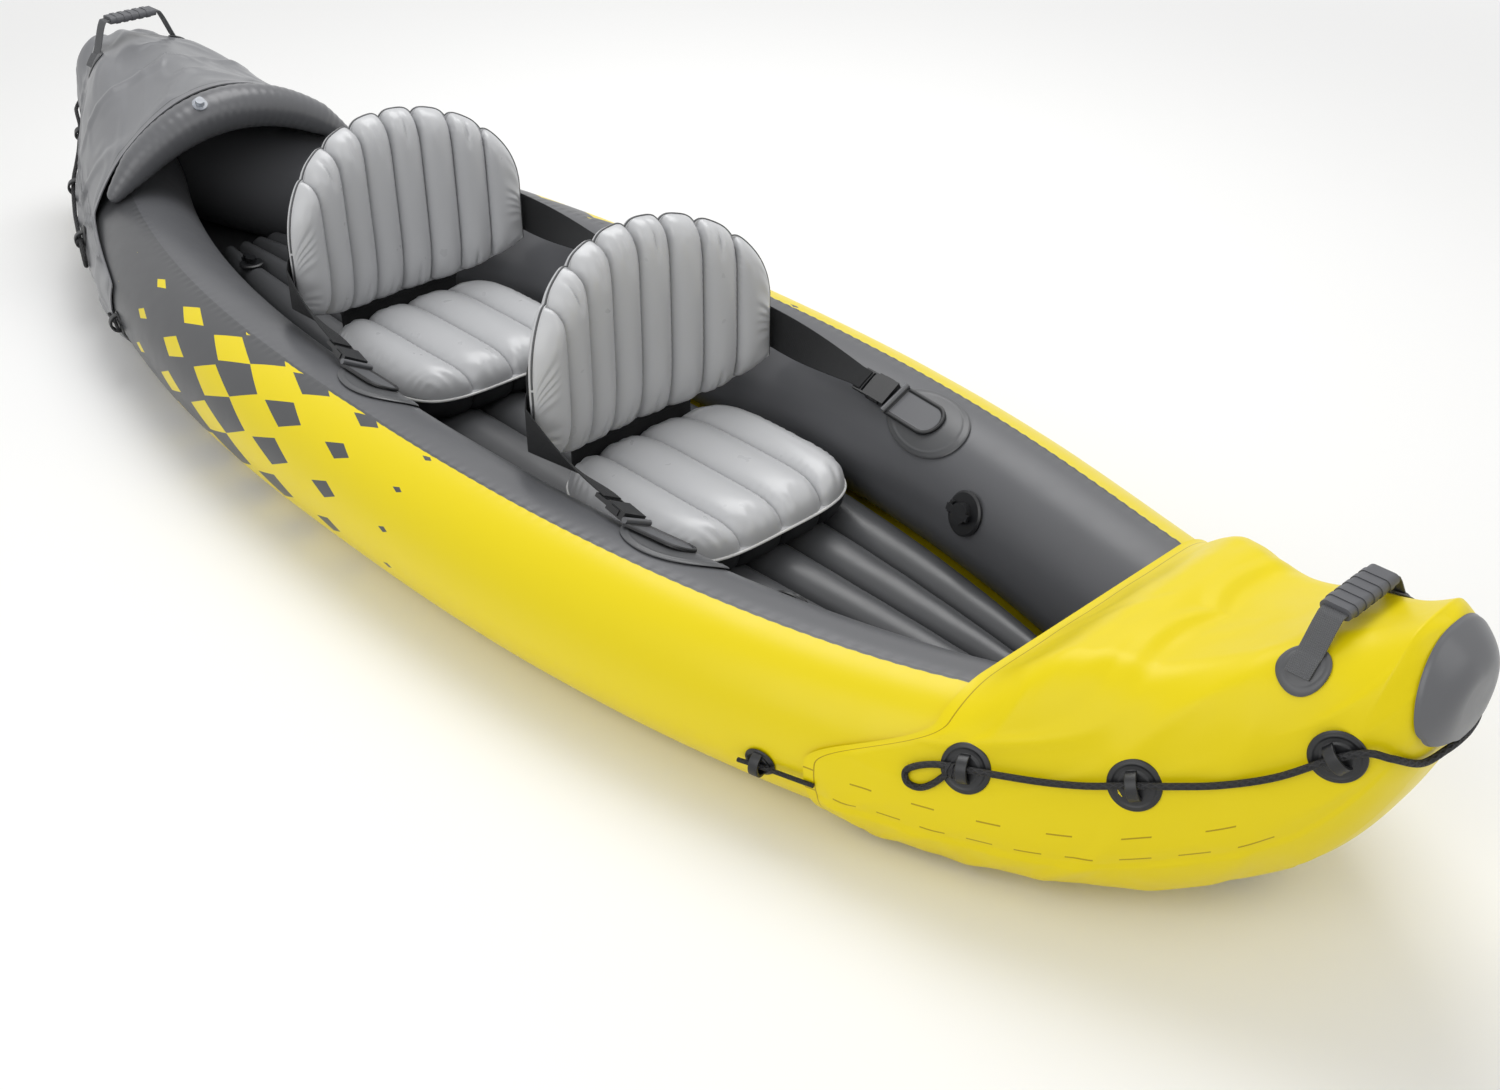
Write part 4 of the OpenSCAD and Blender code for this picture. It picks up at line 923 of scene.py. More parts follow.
def cover(name):
    """Cover: a sheet from a swept edge to the nose, over the deck and down both sides to a hem.

    It stands on the chambers' skin function, lifted by the ridge or deck line, and gets folds and creases
    that are highest by the hem. UV is the distance from the swept edge and from the hem.
    """
    end = END[name]
    across, down = 28, 84
    a = np.concatenate([np.full(across, 90), np.linspace(90, BOTTOM_SEAM, down)])[None, :]
    f = np.concatenate([np.linspace(0, 1, across + 1)[:-1], np.ones(down)])[None, :]
    edge = mix(CORNER[name], EDGE[name], smooth((a - FLAP_FROM[name]) / FLAP_SWEEP[name]))
    x = mix(edge, end * NOSE_EDGE, 1 - (1 - np.linspace(0, 1, 210)[:, None]) ** 1.5)

    def face(off):
        return np.where((f < 1)[..., None], deck(x, f, off), skin(x, a, off))

    half = face(COVER_OUT)
    steps = np.linalg.norm(np.diff(half, axis=1), axis=2)
    to_hem = np.concatenate([np.cumsum(steps[:, ::-1], axis=1)[:, ::-1], np.zeros((len(x), 1))], axis=1)
    to_nose = (end * NOSE_EDGE - x) * end
    hem = smooth(1 - to_hem / HEM_ZONE)
    rim = smooth((x - edge) * end / EDGE_HOLD) * smooth(to_nose / NOSE_HOLD)
    folds = smooth(1 - np.abs(ripples(x, 0.55 * to_hem, FOLD_SIZE, 11 + end)) / FOLD_SHARE)
    creases = smooth(1 - np.abs(ripples(0.7 * x, to_hem, CREASE_SIZE, 15 + end)) / CREASE_SHARE)
    slack = SLACK_SHARE[name] * (mix(*FOLD_RISE, hem) * folds + mix(*CREASE_RISE, hem) * creases)
    loose = SKIRT_STAND + SKIRT_WAVE * ripples(x, 0.3 * to_hem, SKIRT_SIZE, 19)
    slack = (slack + loose * smooth((SKIRT - to_hem) / SKIRT_EASE)) * rim
    off_disc = np.hypot(x - HANDLE_X[name], half[..., 1] - HANDLE_HALF) / DISC_DIA
    slack = slack * smooth((off_disc - 0.45) / 0.5)
    sheet, back = both_sides(face(COVER_OUT + slack)), both_sides(face(COVER_IN + INNER_SLACK * slack))
    plain = np.where(to_nose < PLAIN_ZONE, PLAIN_SHIFT, 0)
    marks = both_sides(stack(np.abs(x - edge), to_hem + plain, 0)[..., :2], 1)
    obj = surface(name + "_cover_sheet", slab(sheet, back), slab(marks, marks), FINISH[name + "_cover"],
                  stands_for=[name + "_cover"])


def coaming():
    """Coaming: an arched tube that thins towards its seats on the chambers, with a puckered seam."""
    q = np.linspace(-1, 1, 181)
    r = mix(COAMING_DIA, COAMING_END_DIA, q * q) / 2
    f = np.abs(q) / COAMING_DECK
    a = mix(90, COAMING_SEAT_ANGLE, np.maximum(0, np.abs(q) - COAMING_DECK) / (1 - COAMING_DECK))
    edge, low = np.array(STERN_EDGE), COAMING_PROUD - r
    under = np.where((f < 1)[:, None], deck(edge, np.minimum(f, 1), low), skin(edge, a, low))
    path = stack(COAMING_X, np.sign(q) * under[:, 1], under[:, 2])
    to_end = np.clip((1 - np.abs(q)) / COAMING_ROUND, 0.02, 1)
    radius = (r - COAMING_INSET) * np.sqrt(to_end * (2 - to_end))
    pucker = COAMING_PUCKER * wave(length_along(path), COAMING_PITCH)
    points, uv = tube(path, radius + pucker, 48, (1, 0, 0))
    obj = surface("stern_coaming_tube", points, uv, FINISH["grey"],
                  stands_for=["stern_coaming"])


def bolster():
    """Splash bolster: a half-round roll across the chambers, under the bow cover's ridge."""
    t = np.linspace(0, np.pi, 40)[:, None]
    x = RIDGE_X - BOLSTER_HALF * np.cos(t)
    up = BOLSTER_LEAST + BOLSTER_RISE * np.sin(t)
    f = np.linspace(0, 1, 20)[None, :]
    a = np.linspace(90, BOLSTER_END, 20)[None, 1:]

    def face(rise):
        flat = stack(x, f * side_y(x), mid_z(x) + half_h(x) + BOLSTER_GAP + rise)
        ease = smooth((a - LAP_FROM) / (90 - LAP_FROM))
        lap = shell(x, a, BOLSTER_GAP) + stack(0, 0, BOLSTER_LAP * rise * ease)
        return both_sides(np.concatenate([flat, lap], axis=1))

    points = slab(face(up), face(0 * up))
    obj = surface("splash_bolster_roll", points, points[..., :2], FINISH["yellow"],
                  stands_for=["bow_splash_bolster"])


def nose_patch(name):
    """Nose patch: a dome over the joined chamber ends, with an edge that slants towards the deck."""
    end = END[name]
    a = np.linspace(0, 360, 121)[None, :]
    u = np.linspace(0, 1, 36)[:, None]
    up, out = np.sin(np.radians(a)), np.cos(np.radians(a))
    reach = mix(NOSE_FOOT, 1, smooth((up + 0.9) / 1.1)) * (NOSE_SIDE + NOSE_TOP * np.maximum(0, up))
    t = NOSE_TURN - (1 - u) * reach
    x = end * (CAP_START + END_ROUND * np.sin(np.radians(t)))

    def face(off):
        y = side_y(x) * np.tanh(8 * out) + (half_w(x) + off) * out
        return stack(x + end * off * smooth((t - 45) / 40), y, mid_z(x) + (half_h(x) + off) * up)

    outer = face(NOSE_OUT - NOSE_EDGE_DROP * (1 - smooth(u / 0.12)))
    points = with_poles(np.concatenate([outer[::-1], face(NOSE_IN)]))
    surface(name + "_nose_patch_sheet", points, points[..., 1:], FINISH["grey"],
            stands_for=[name + "_nose_patch"])


def forefoot_dark_patch():
    """Dark patch: a long oval black sheet under the forefoot, partly the bottom's dark panel and partly
    painted contact shadow.
    """
    t = np.linspace(0.05, np.pi - 0.05, 60)[:, None]
    x = HALF_LEN - DARK_PATCH_BACK - DARK_PATCH_HALF_LEN * np.cos(t)
    y = DARK_PATCH_HALF_W * np.sin(t) * np.linspace(-1, 1, 30)[None, :]
    top = mid_z(x) - half_h(x) - BASE_Z - DARK_PATCH_GAP
    points = slab(stack(x, y, top - DARK_PATCH_T), stack(x, y, top))
    surface("bow_dark_patch_sheet", points, points[..., :2], FINISH["black"],
            stands_for=["bow_wear_patch"])


for side, name in zip(SIDE, END):
    chamber(side)
    cover(name)
    nose_patch(name)
bottom_panel()
mat()
coaming()
bolster()
forefoot_dark_patch()

# Grab ropes, chosen one by one
# A row along the side: distance from the hull's end, angle and height off the chamber
# A row round the nose: distance from the hull's end, distance from the middle and drop below the tip
ROPE_SIDE = {
    "bow": [
        [427, 23.6, 13], [441, 16, 11.7], [455, 12.2, 10.1], [469, 13.6, 9.6], [473, 19.7, 10.1],
        [460, 24.4, 11.6], [440, 27, 12.5], [414, 27, 14.6], [372, 26.6, 14.5], [330, 26, 13],
        [288, 25.5, 14.2], [246, 25, 14.8], [205, 22.5, 13.9], [165, 19, 13.8], [120, 15.3, 15],
        [76, 12, 14.4], [50, 7, 16], [30, -4, 20],
    ],
    "stern": [
        [520, 6.6, 14], [536, -0.5, 13], [550, -3.9, 13.4], [564, -2.4, 12.5], [567, 3.4, 12.6],
        [554, 8.2, 13], [534, 10.1, 13.7], [510, 10.2, 14.3], [463, 11.5, 14.3], [415, 12.6, 14.8],
        [368, 14.1, 14], [320, 15.8, 14.7], [277, 14.6, 15.9], [235, 12.8, 16], [192, 11.8, 16.4],
        [150, 10, 16.8], [120, 6.8, 14.5], [80, -2.1, 14.8], [48, -15.2, 18.7],
    ],
}
ROPE_NOSE = {
    "bow": [[15, 60, 61], [7, 26, 58], [5, 0, 57]],
    "stern": [[23, 47, 45], [10, 17, 43], [8, 0, 43]],
}
# Number of the row where a loop's end comes back beside its start
LOOP_END = 7
# Laces: distance from the flap's edge towards midships, angle and height off the chamber
LACE = {
    "bow": [[87, -12.3, 8.3], [62, -11, 8.2], [35, -10.1, 8.1], [10, -9.8, 8.1], [-15, -9.6, 8.3]],
    "stern": [[52.5, -5.4, 9.9], [26.5, -6, 6.9], [0.5, -6.5, 7.7], [-25.5, -6.9, 8.2]],
}
# Knots: turns of the cord, length, radius and the cord's radius
KNOT_TURNS = 2.5
KNOT_LEN = 14
KNOT_R = 6
KNOT_CORD_R = 3.2


def grab_rope(name):
    """Grab rope: a tube along a smooth path through the holders and round the nose, knotted at each end."""
    end = END[name]
    s, n = np.array(ROPE_SIDE[name]), np.array(ROPE_NOSE[name])
    along = skin(end * (HALF_LEN - s[:, 0]), s[:, 1], s[:, 2])
    port = np.concatenate([along, stack(end * (HALF_LEN - n[:, 0]), n[:, 1], tip_z(end) - n[:, 2])])
    path = curve(np.concatenate([port, mirrored(port[-2::-1])]), 620)
    points, uv = tube(path, ROPE_R, 16, (0.3, 0.2, 1))
    surface(name + "_grab_rope_braid", points, uv, FINISH["rope"],
            stands_for=[name + "_grab_rope"])
    at, way = mix(port[0], port[LOOP_END], 0.5), unit(port[LOOP_END] - port[LOOP_END - 1])
    for side in SIDE:
        flip = np.array([1, side, 1])
        knot("%s_%s_rope_knot" % (name, SIDE[side]), at * flip, way * flip)


def knot(name, at, way):
    """Knot: a cord wound in a short helix round a place, along a direction."""
    aside = unit(np.cross(way, [0, 0, 1.0]))
    over = np.cross(aside, way)
    f = np.linspace(0, 1, 120)[:, None]
    turn = 2 * np.pi * KNOT_TURNS * f
    path = at + (f - 0.5) * KNOT_LEN * way + KNOT_R * (np.cos(turn) * aside + np.sin(turn) * over)
    points, uv = tube(path, KNOT_CORD_R, 12, way)
    surface(name, points, uv, FINISH["rope"])


def lace(name, side):
    """Lace: a thin tube from its holder to the corner of a cover flap."""
    rows = np.array(LACE[name])
    places = skin(CORNER[name] - END[name] * rows[:, 0], rows[:, 1], rows[:, 2])
    points, uv = tube(curve(places * np.array([1, side, 1]), 90), LACE_R, 14)
    label = "%s_%s_lace_braid" % (name, SIDE[side])
    surface(label, points, uv, FINISH["rope"], stands_for=["cover_laces"])


for name in END:
    grab_rope(name)
    for side in SIDE:
        lace(name, side)

# Handle discs: a groove inside the edge, and half the span over which the cover's slope is taken
DISC_GROOVE = 0.7
SLOPE_SPAN = 4
# Handle webbing: feet from the disc's middle outward, and how it enters the grip
STRAP_FEET = [12, 5, -3, -10]
GRIP_LEAD = 14
GRIP_DROP = 7
STRAP_STEPS = 120


def handle_disc(name, side):
    """Handle disc: a round patch that lies on the cover, with a rounded edge and a groove inside it."""
    t = np.linspace(0, 2 * np.pi, 73)[None, :]
    r = np.linspace(0.02, 1, 26)[:, None]
    x = HANDLE_X[name] + DISC_DIA / 2 * r * np.cos(t)
    near = top_z(np.full(2, HANDLE_X[name]), HANDLE_HALF + SLOPE_SPAN * np.array([-1, 1]), DISC_SEAT)
    slope = math.atan((near[1] - near[0]) / (2 * SLOPE_SPAN))
    y = side * HANDLE_HALF + DISC_DIA / 2 * r * np.sin(t) * math.cos(slope)
    dome = DISC_T * rounded(r, 0.86, 0.14, 0.04) - DISC_GROOVE * bell(r - 0.74, 0.05)
    under = top_z(x, y, DISC_SEAT)
    points = with_poles(np.concatenate([stack(x, y, under + dome), stack(x, y, under)[::-1]]))
    label = "%s_%s_handle_disc" % (name, SIDE[side])
    surface(label, points, points[..., :2], FINISH["dark"], stands_for=[name + "_handle_discs"])


def handle_strap(name, side):
    """One half of a handle's webbing: flat on its disc, then up and into the grip."""
    x = HANDLE_X[name]
    foot_y = np.array(STRAP_FEET) + HANDLE_HALF
    feet = stack(x, foot_y, top_z(x, foot_y, ROOT_SEAT) + HANDLE_WEB_T / 2)
    grip_z = top_z(np.array(x), 0, COVER_OUT) + HANDLE_RISE[name]
    top_y = np.array([GRIP_LEN / 2 + GRIP_LEAD, GRIP_LEN / 2 + 1, 0])
    rise = stack(x, top_y, grip_z + np.array([-GRIP_DROP, 0, 0]))
    path = curve(np.concatenate([feet, rise]), STRAP_STEPS) * np.array([1, side, 1])
    points, uv = ribbon(path, HANDLE_WEB, np.broadcast_to([1.0, 0, 0], path.shape), HANDLE_WEB_T)
    label = "%s_%s_handle_webbing" % (name, SIDE[side])
    obj = surface(label, points, uv, FINISH["grey_webbing"], body=None,
                  stands_for=[name + "_handle_strap"])
    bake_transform(obj)


for name in END:
    for side in SIDE:
        handle_disc(name, side)
        handle_strap(name, side)

# Seat pads. Powers say how square a pad swells: cushion by its rear and front, backrest by its foot and head
CUSHION_SWELL = (4, 8)
BACK_SWELL = (3.5, 8)
BACK_REAR_SWELL = 4
SIDE_SWELL = {"cushion": 8, "backrest": 6}
CHANNEL_DEPTH = {"cushion": 0.46, "backrest": 0.5}
# Welds run shorter than the pad by a share, pucker along their length, and end in tucks of a depth
WELD_SHORT = 0.06
SEAT_PUCKER = 0.8
CUSHION_PITCH = 15
BACK_PITCH = 14
CUSHION_TUCK = 4.0
BACK_TUCK = (5, 3)
# Uneven gathers by the rims: heights at the ends and at the sides
CUSHION_GATHER = (1.5, 1.8)
BACK_GATHER = (1.7, 2.2)
SKIN_INSET = 1.0
BACK_SCALLOP = 0.034
CUSHION_BEAD_R = 2.4
BACK_BEAD_R = 1.7
# Sleeve: shares of the backrest's half width and height that it covers, and its slack
SLEEVE_WIDE = 0.95
SLEEVE_FOOT = 0.04
SLEEVE_HEAD = 0.72
SLEEVE_SLACK = 0.6
SLEEVE_WAVE = 60
HEM_NECK = 2
# How much powers of its two parameters draw in a cushion's ends and sides, and round its corners
CUSHION_ENDS = 0.1
CUSHION_SIDES = 0.12
CUSHION_CORNERS = 0.055


def cushion_point(h, u, v, up):
    """Point of a cushion at u along and v across, above its seam by up.

    u and v go from -1 to 1, and powers of both draw in the sides and round the corners.
    """
    corner = 1 - CUSHION_CORNERS * (u * v) ** 4
    x = h + HEM_T / 2 + CUSHION_GAP + CUSHION_LEN / 2 * (1 + u * (1 - CUSHION_ENDS * v ** 4) * corner)
    return stack(x, CUSHION_W / 2 * v * (1 - CUSHION_SIDES * u ** 4) * corner, CUSHION_SEAM + up)


def cushion(seat):
    """Cushion: an inflated pad of lengthwise channels, puckered where the channels run out to the seam."""
    h = SEAT_X[seat]
    u = -np.cos(np.linspace(0, np.pi, 150))[:, None]
    c = crowded(np.linspace(0, CUSHION_CHANNELS, CUSHION_CHANNELS * 32 + 1))[None, :]
    v = 2 * c / CUSHION_CHANNELS - 1
    w = channel_place(c, CUSHION_CHANNELS)
    by_weld = np.abs(w) ** 6
    length = np.clip(u * (1 + WELD_SHORT * by_weld), -1, 1)
    full = swell(length, np.where(u < 0, *CUSHION_SWELL)) * swell(v, SIDE_SWELL["cushion"])
    pucker = SEAT_PUCKER * by_weld * wave(CUSHION_LEN / 2 * u, CUSHION_PITCH, 3 * np.floor(c))
    tuck = CUSHION_TUCK * smooth((np.abs(u) - 0.72) / 0.24) * np.abs(np.cos(2 * np.pi * c)) ** 8
    ends, sides = smooth((np.abs(u) - 0.8) / 0.12), smooth((np.abs(v) - 0.84) / 0.1)
    gather = CUSHION_GATHER[0] * ends * np.sin(2 * np.pi * 4.3 * c + 3 * np.sin(3 * c))
    gather = gather + CUSHION_GATHER[1] * sides * np.sin(2 * np.pi * 7 * u + 3 * np.sin(9 * u + v))
    crown = CUSHION_CROWN * channel(w, CHANNEL_DEPTH["cushion"]) + pucker + gather - tuck - SKIN_INSET
    foot = -RIM_T / 2 - CUSHION_DROP * np.minimum(1, 1.3 * full)
    points = slab(cushion_point(h, u, v, RIM_T / 2 + crown * full), cushion_point(h, u, v, foot))
    obj = surface(seat + "_cushion_pad", points, points[..., :2], FINISH["seat"],
                  stands_for=[seat + "_cushion"], lining=(FINISH["black"], c.size))
    t = np.linspace(0, 4, 401)
    rim_u, rim_v = np.interp(t, range(5), [1, -1, -1, 1, 1]), np.interp(t, range(5), [1, 1, -1, -1, 1])
    bead, uv = tube(cushion_point(h, rim_u, rim_v, 0), CUSHION_BEAD_R, 12)
    surface(seat + "_cushion_piping", bead, uv, FINISH["piping"])


def back_point(h, s, t, off):
    """Point of a backrest at s across and t up, off its wrapped seam surface by off towards the paddler."""
    radius = BACK_HALF_W / math.sin(math.radians(BACK_WRAP))
    turn = np.radians(BACK_WRAP * s)
    low = BACK_BASE + BACK_RISE * np.abs(s ** 3)
    high = BACK_BASE + BACK_H * (0.5 + 0.5 * np.sqrt(np.maximum(0, 1 - s * s)))
    x = h + radius * (1 - np.cos(turn)) + off * np.cos(turn)
    return stack(x, (radius - off) * np.sin(turn), mix(low, high, t))


def back_rear(s, t):
    """How far a backrest's rear face is off its seam surface: half its rim and a swell both ways."""
    return -RIM_T / 2 - BACK_DEPTH * swell(s, SIDE_SWELL["backrest"]) * swell(2 * t - 1, BACK_REAR_SWELL)


def backrest(seat):
    """Backrest: an inflated pad of upright channels wrapped round the paddler, puckered at its rim."""
    h = SEAT_X[seat]
    c = crowded(np.linspace(0, BACK_CHANNELS, BACK_CHANNELS * 26 + 1))[:, None]
    s = 2 * c / BACK_CHANNELS - 1
    t = (1 - np.cos(np.linspace(0, np.pi, 124)))[None, :] / 2
    w = channel_place(c, BACK_CHANNELS)
    by_weld, up = np.abs(w) ** 6, 2 * t - 1
    height = np.clip(up * (1 + WELD_SHORT * by_weld), -1, 1)
    full = swell(s, SIDE_SWELL["backrest"]) * swell(height, np.where(t < 0.5, *BACK_SWELL))
    pucker = SEAT_PUCKER * by_weld * wave(BACK_H * t, BACK_PITCH, 2 * np.floor(c))
    deep = BACK_TUCK[0] + BACK_TUCK[1] * np.sin(5 * np.round(2 * c))
    tuck = deep * smooth((np.abs(up) - 0.6) / 0.3) * np.abs(np.cos(2 * np.pi * c)) ** 10
    ends, sides = smooth((np.abs(up) - 0.76) / 0.14), smooth((np.abs(s) - 0.86) / 0.1)
    gather = BACK_GATHER[0] * ends * np.sin(2 * np.pi * 3.3 * c + 3 * np.sin(4 * c))
    gather = gather + BACK_GATHER[1] * sides * np.sin(2 * np.pi * 9 * t + 3 * np.sin(11 * t + s))
    puff = BACK_PUFF * channel(w, CHANNEL_DEPTH["backrest"]) + pucker + gather - tuck - SKIN_INSET
    dip = BACK_SCALLOP * np.abs(w) ** 4
    scallop = t * (1 - dip * smooth((t - 0.8) / 0.2))
    front = back_point(h, s, scallop, RIM_T / 2 + puff * full)
    points = slab(front, back_point(h, s, scallop, back_rear(s, t)))
    obj = surface(seat + "_backrest_pad", points, points[..., 1:], FINISH["seat"],
                  seat + "_back", [seat + "_backrest"])
    edge, down = s[:, 0], np.linspace(1, 0, 42)[1:-1]
    rim_s = np.concatenate([edge, np.ones(len(down)), edge[::-1], -np.ones(len(down))])
    rim_t = np.concatenate([1 - dip[:, 0], down, 0 * edge, down[::-1]])
    rim = curve(back_point(h, rim_s, rim_t, 0)[::3], 520)
    bead, uv = tube(rim, BACK_BEAD_R, 12, (1, 0.02, 0.03))
    # The piping is dark grey: partly the sleeve's dark edge that wraps round it, partly painted shade in the
    # seam between the front panel and the sleeve
    surface(seat + "_backrest_piping", bead, uv, FINISH["dark"], seat + "_back")


def sleeve(seat):
    """Sleeve: a cloth sheet over the lower part of the backrest's rear face, with slack waves."""
    h = SEAT_X[seat]
    s = SLEEVE_WIDE * np.linspace(-1, 1, 120)[:, None]
    t = mix(SLEEVE_FOOT, SLEEVE_HEAD, np.linspace(0, 1, 70))[None, :]
    slack = SLEEVE_SLACK * (ripples(BACK_HALF_W * s, BACK_H * t, SLEEVE_WAVE, 21) - 1)
    under = back_rear(s, t) - SLEEVE_GAP
    outer = back_point(h, s, t, under - SLEEVE_T + slack)
    points = slab(outer, back_point(h, s, t, under))
    obj = surface(seat + "_back_sleeve_cloth", points, points[..., 1:], FINISH["cloth"],
                  seat + "_back", [seat + "_back_sleeve"])


def hinge_hem(seat):
    """Hinge hem: a cloth strip that hangs from a roll under the backrest down to the cushion's seam."""
    foot, neck = CUSHION_SEAM - RIM_T / 2, HINGE_Z - HEM_DIA / 2 - HEM_NECK
    t = np.radians(np.linspace(-60, 240, 40))
    roll = np.stack([HEM_DIA / 2 * np.cos(t), HINGE_Z + HEM_DIA / 2 * np.sin(t)], -1)
    strip = np.array([[-HEM_T / 2, neck], [-HEM_T / 2, foot], [HEM_T / 2, foot], [HEM_T / 2, neck]])
    outline = np.concatenate([roll, strip, roll[:1]])
    y = np.linspace(-HEM_LEN / 2, HEM_LEN / 2, 60)[:, None]
    points = stack(SEAT_X[seat] + outline[None, :, 0], y, outline[None, :, 1])
    uv = stack(y, length_along(outline)[None, :], 0)[..., :2]
    surface(seat + "_hinge_hem_cloth", with_poles(points), with_poles(uv), FINISH["cloth"],
            stands_for=[seat + "_hinge_hem"])


for seat in SEAT_X:
    cushion(seat)
    backrest(seat)
    sleeve(seat)
    hinge_hem(seat)

# Strap anchors: sizes of the patch, tab and buckle on the side chambers
ANCHOR_REACH = 385
ANCHOR_ANGLE = 120
ANCHOR_LEN = 160
ANCHOR_W = 110
ANCHOR_SEAT = 1.6
ANCHOR_T = 2
ANCHOR_RING = 0.8
TAB_BACK = 20
TAB_LEN = 100
TAB_W = 56
TAB_T = 2.5
TAB_BORDER = 7
TAB_RAISED = 2
TAB_SOFT = 1.2
TAB_SEAT = ANCHOR_SEAT + ANCHOR_T + 0.6
ROLL_R = 4.5
ROLL_Z = 7
BUCKLE_LEN = 42
BUCKLE_W = 36
LADDER_LEN = 26
LADDER_T = 6
LADDER_LAP = 8
WEB_W = 34
WEB_ROOT_W = 70
WEB_T = 2.2
WEB_GAP = 0.4
SEWN_GAP = 0.9
SEWN_FROM = 0.98
SEWN_TO = 0.72
STRAP_AT = 0.36
WING_EDGE = 1.03


def side_slope(x):
    """Angle of a chamber's centre line to the boat's length, from two places 10 mm apart."""
    return np.arctan((side_y(x + 5) - side_y(x - 5)) / 10)


def tab_frame(seat):
    """Middle, lengthwise, crosswise and upward directions of a seat's port tab."""
    x = np.array(SEAT_X[seat] + ANCHOR_REACH - TAB_BACK)
    a, tilt = side_slope(x), math.radians(ANCHOR_ANGLE)
    lengthwise = np.array([np.cos(a), np.sin(a), 0])
    crosswise = np.array([-np.sin(tilt) * np.sin(a), np.sin(tilt) * np.cos(a), -np.cos(tilt)])
    return shell(x, ANCHOR_ANGLE, TAB_SEAT), lengthwise, crosswise, np.cross(lengthwise, crosswise)


def anchor_patch(seat, side):
    """Weld patch: an oval that lies on the chamber, with a raised ring inside its rounded edge."""
    t = np.radians(np.linspace(0, 360, 97))[None, :]
    r = np.linspace(0.02, 1, 40)[:, None]
    x = SEAT_X[seat] + ANCHOR_REACH + r * ANCHOR_LEN / 2 * np.cos(t)
    a = ANCHOR_ANGLE + np.degrees(r * ANCHOR_W / 2 * np.sin(t) / CHAMBER_R)
    rise = ANCHOR_T * rounded(r, 0.93, 0.07, 0.05) + ANCHOR_RING * bell(r - 0.86, 0.03)
    upper, lower = shell(x, a, ANCHOR_SEAT + rise), shell(x, a, ANCHOR_SEAT)
    points = with_poles(np.concatenate([upper, lower[::-1]])) * np.array([1, side, 1])
    surface("%s_%s_anchor_patch" % (seat, SIDE[side]), points, points[..., :2], FINISH["dark"],
            stands_for=["anchor_patches"])


def anchor_tab(seat, side):
    """Tab: a vinyl tongue with one round end, a raised dark border and a hem roll that holds the buckle."""
    at, lengthwise, crosswise, upward = tab_frame(seat)
    flip = np.array([1, side, 1])
    x = TAB_LEN / 2 * -np.cos(np.linspace(0.02, np.pi, 80))[:, None]
    bend = np.maximum(0, x - (TAB_LEN - TAB_W) / 2)
    y = np.sqrt(np.maximum(0, (TAB_W / 2) ** 2 - bend ** 2)) * np.linspace(-1, 1, 60)[None, :]
    to_edge = np.minimum(TAB_W / 2 - np.where(bend > 0, np.hypot(bend, y), np.abs(y)), x + TAB_LEN / 2)
    rise = TAB_T + TAB_RAISED * smooth((TAB_BORDER - to_edge) / 3) - TAB_SOFT * smooth((1.5 - to_edge) / 1.5)
    lower = at + x[..., None] * lengthwise + y[..., None] * crosswise
    points = slab(lower + rise[..., None] * upward, lower) * flip
    marks = stack(to_edge, y, 0)[..., :2]
    name = "%s_%s_anchor_tab" % (seat, SIDE[side])
    surface(name, points, slab(marks, marks), FINISH["tab"], stands_for=["anchor_tabs"])
    reach = np.linspace(-TAB_W / 2, TAB_W / 2, 20)[:, None]
    path = at - TAB_LEN / 2 * lengthwise + ROLL_Z * upward + reach * crosswise
    roll, uv = tube(path * flip, ROLL_R, 24, lengthwise)
    surface(name + "_roll", roll, uv, FINISH["grey"])


def seat_strap(seat, side):
    """Seat strap: webbing from the buckle's ladder to the sleeve, which turns and widens on the way."""
    h = SEAT_X[seat]
    at, lengthwise, crosswise, upward = tab_frame(seat)
    roll = at - TAB_LEN / 2 * lengthwise + ROLL_Z * upward

    def on_back(s):
        under = back_rear(s, STRAP_AT) - SLEEVE_GAP - SLEEVE_T
        return back_point(h, s, STRAP_AT, under - SEWN_GAP - WEB_T / 2)

    bend = on_back(np.array(WING_EDGE))
    way = unit(bend - roll)
    over = unit(np.cross(way, -crosswise))
    start = roll + (ROLL_R + WEB_GAP + BUCKLE_W / 2 * abs(way @ crosswise)) * way
    ladder = start + over * (LADDER_T / 2 + WEB_GAP + WEB_T / 2)
    foot = ladder + (BUCKLE_LEN + LADDER_LEN) * way
    f = np.linspace(0, 1, 90)[:, None]
    sewn = on_back(np.linspace(SEWN_FROM, SEWN_TO, 30))
    path = np.concatenate([(ladder + (BUCKLE_LEN + LADDER_LAP) * way)[None], mix(foot, bend, f), sewn])
    turn = np.concatenate([[0], f[:, 0], np.ones(len(sewn))])[:, None]
    across = unit(mix(np.cross(way, over), np.array([0, 0, 1.0]), turn))
    flip = np.array([1, side, 1])
    points, uv = ribbon(path, mix(WEB_W, WEB_ROOT_W, turn[:, 0]), across, WEB_T, 12)
    name = "%s_%s" % (seat, SIDE[side])
    obj = surface(name + "_seat_webbing", points * flip, uv, FINISH["webbing"], body=None,
                  stands_for=[name + "_strap"])
    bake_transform(obj)


for seat in SEAT_X:
    for side in SIDE:
        anchor_patch(seat, side)
        anchor_tab(seat, side)
        seat_strap(seat, side)

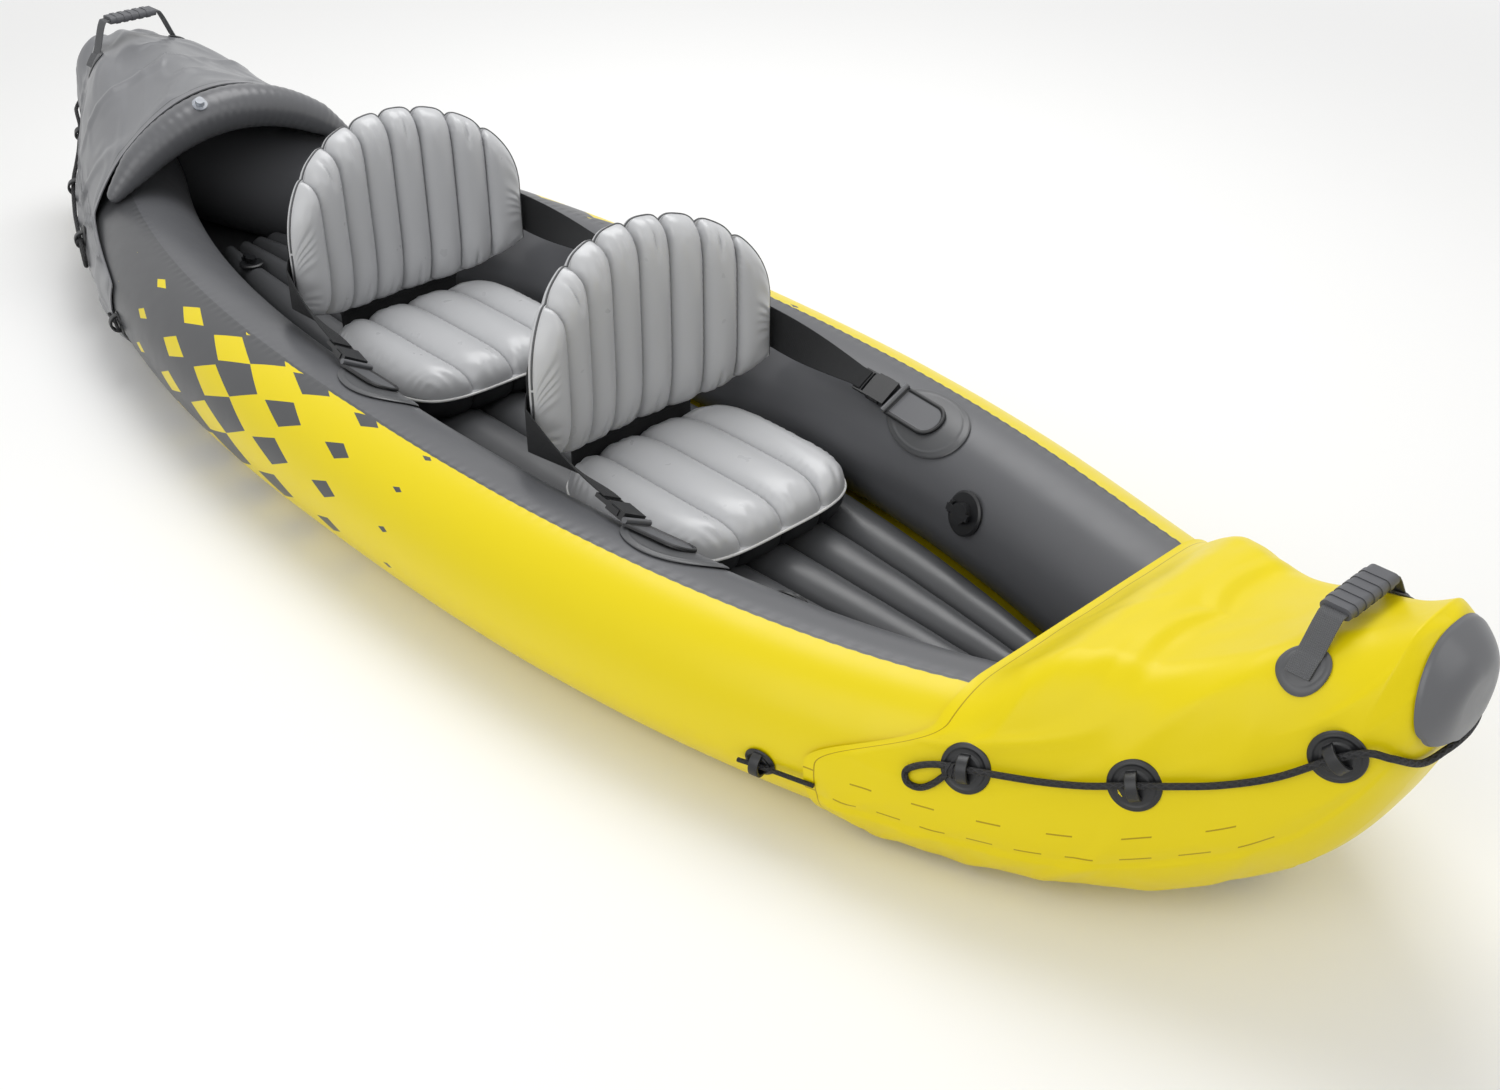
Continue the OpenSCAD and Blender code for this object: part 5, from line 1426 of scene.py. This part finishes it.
# Rope and lace holders: place along the hull, angle round the chamber and packing under the base
HOLDERS = {
    "bow_rope_holders": (60, COVER_OUT, [[1146, 27, 0], [1314, 25, 0], [1484, 12, 0]]),
    "stern_rope_holders": (60, COVER_OUT, [[-1050, 10, -0.4], [-1240, 16, 0], [-1410, 10, 1.9]]),
    "lace_holders": (42, 0, [[CORNER["bow"] - 62, -11, 0], [CORNER["stern"] + 26.5, -6, -1.5]]),
}
HOLDER_T = 2.4
HOLDER_GAP = 0.4
HOLDER_ROUND = 2
RING_IN = 5
RING_RISE = 1.0
RING_WIDTH = 1.6
BOSS_R_SHARE = 0.3
BOSS_RISE = 1.4
BRIDGE_R = 15
BRIDGE_W = 13
BRIDGE_T = 4.5
BRIDGE_SINK = 0.5


def holder(name, dia, off, place, side):
    """Holder: a round base with a ring and a boss, square to the skin, and a bridge over the rope."""
    x, a = np.array(place[0]), place[1]
    ahead = unit(skin(x + 2, a, off) - skin(x - 2, a, off))
    out = unit(np.cross(ahead, skin(x, a - 2, off) - skin(x, a + 2, off)))
    around = np.cross(out, ahead)
    at = skin(x, a, off + HOLDER_GAP + place[2])
    flip = np.array([1, side, 1])
    t = np.radians(np.linspace(0, 360, 65))[None, :]
    r = dia / 2 * np.linspace(0.02, 1, 36)[:, None]
    ring = RING_RISE * bell(r - dia / 2 + RING_IN, RING_WIDTH)
    boss = BOSS_RISE * smooth((BOSS_R_SHARE * dia - r) / 2)
    top = HOLDER_T * rounded(r, dia / 2 - HOLDER_ROUND, HOLDER_ROUND, 0.05) + ring + boss
    lower = at + (r * np.cos(t))[..., None] * ahead + (r * np.sin(t))[..., None] * around
    base = with_poles(np.concatenate([lower + top[..., None] * out, lower[::-1]]))
    label = "%s_%d_%s" % (name, place[0], SIDE[side])
    surface(label, base * flip, base[..., :2], FINISH["plastic"], stands_for=[name])
    bow = np.radians(np.linspace(-8, 188, 50))[:, None]
    arch = at + BRIDGE_R * (np.cos(bow) * around + np.sin(bow) * out) + (HOLDER_T - BRIDGE_SINK) * out
    band, uv = ribbon(arch, BRIDGE_W, np.broadcast_to(ahead, arch.shape), BRIDGE_T, 10)
    surface(label + "_bridge", band * flip, uv, FINISH["plastic"])


for name, (dia, off, places) in HOLDERS.items():
    for place in places:
        for side in SIDE:
            holder(name, dia, off, place, side)


def fittings():
    """The moulded fittings keep their CAD solids and get their finish."""
    slots = {p["node"]: p["material_slot"] for p in frame["record"]["subparts"]}
    for name, obj in frame["nodes"].items():
        obj.data.materials.clear()
        obj.data.materials.append(FINISH[SLOT_FINISH[slots[name]]])


fittings()
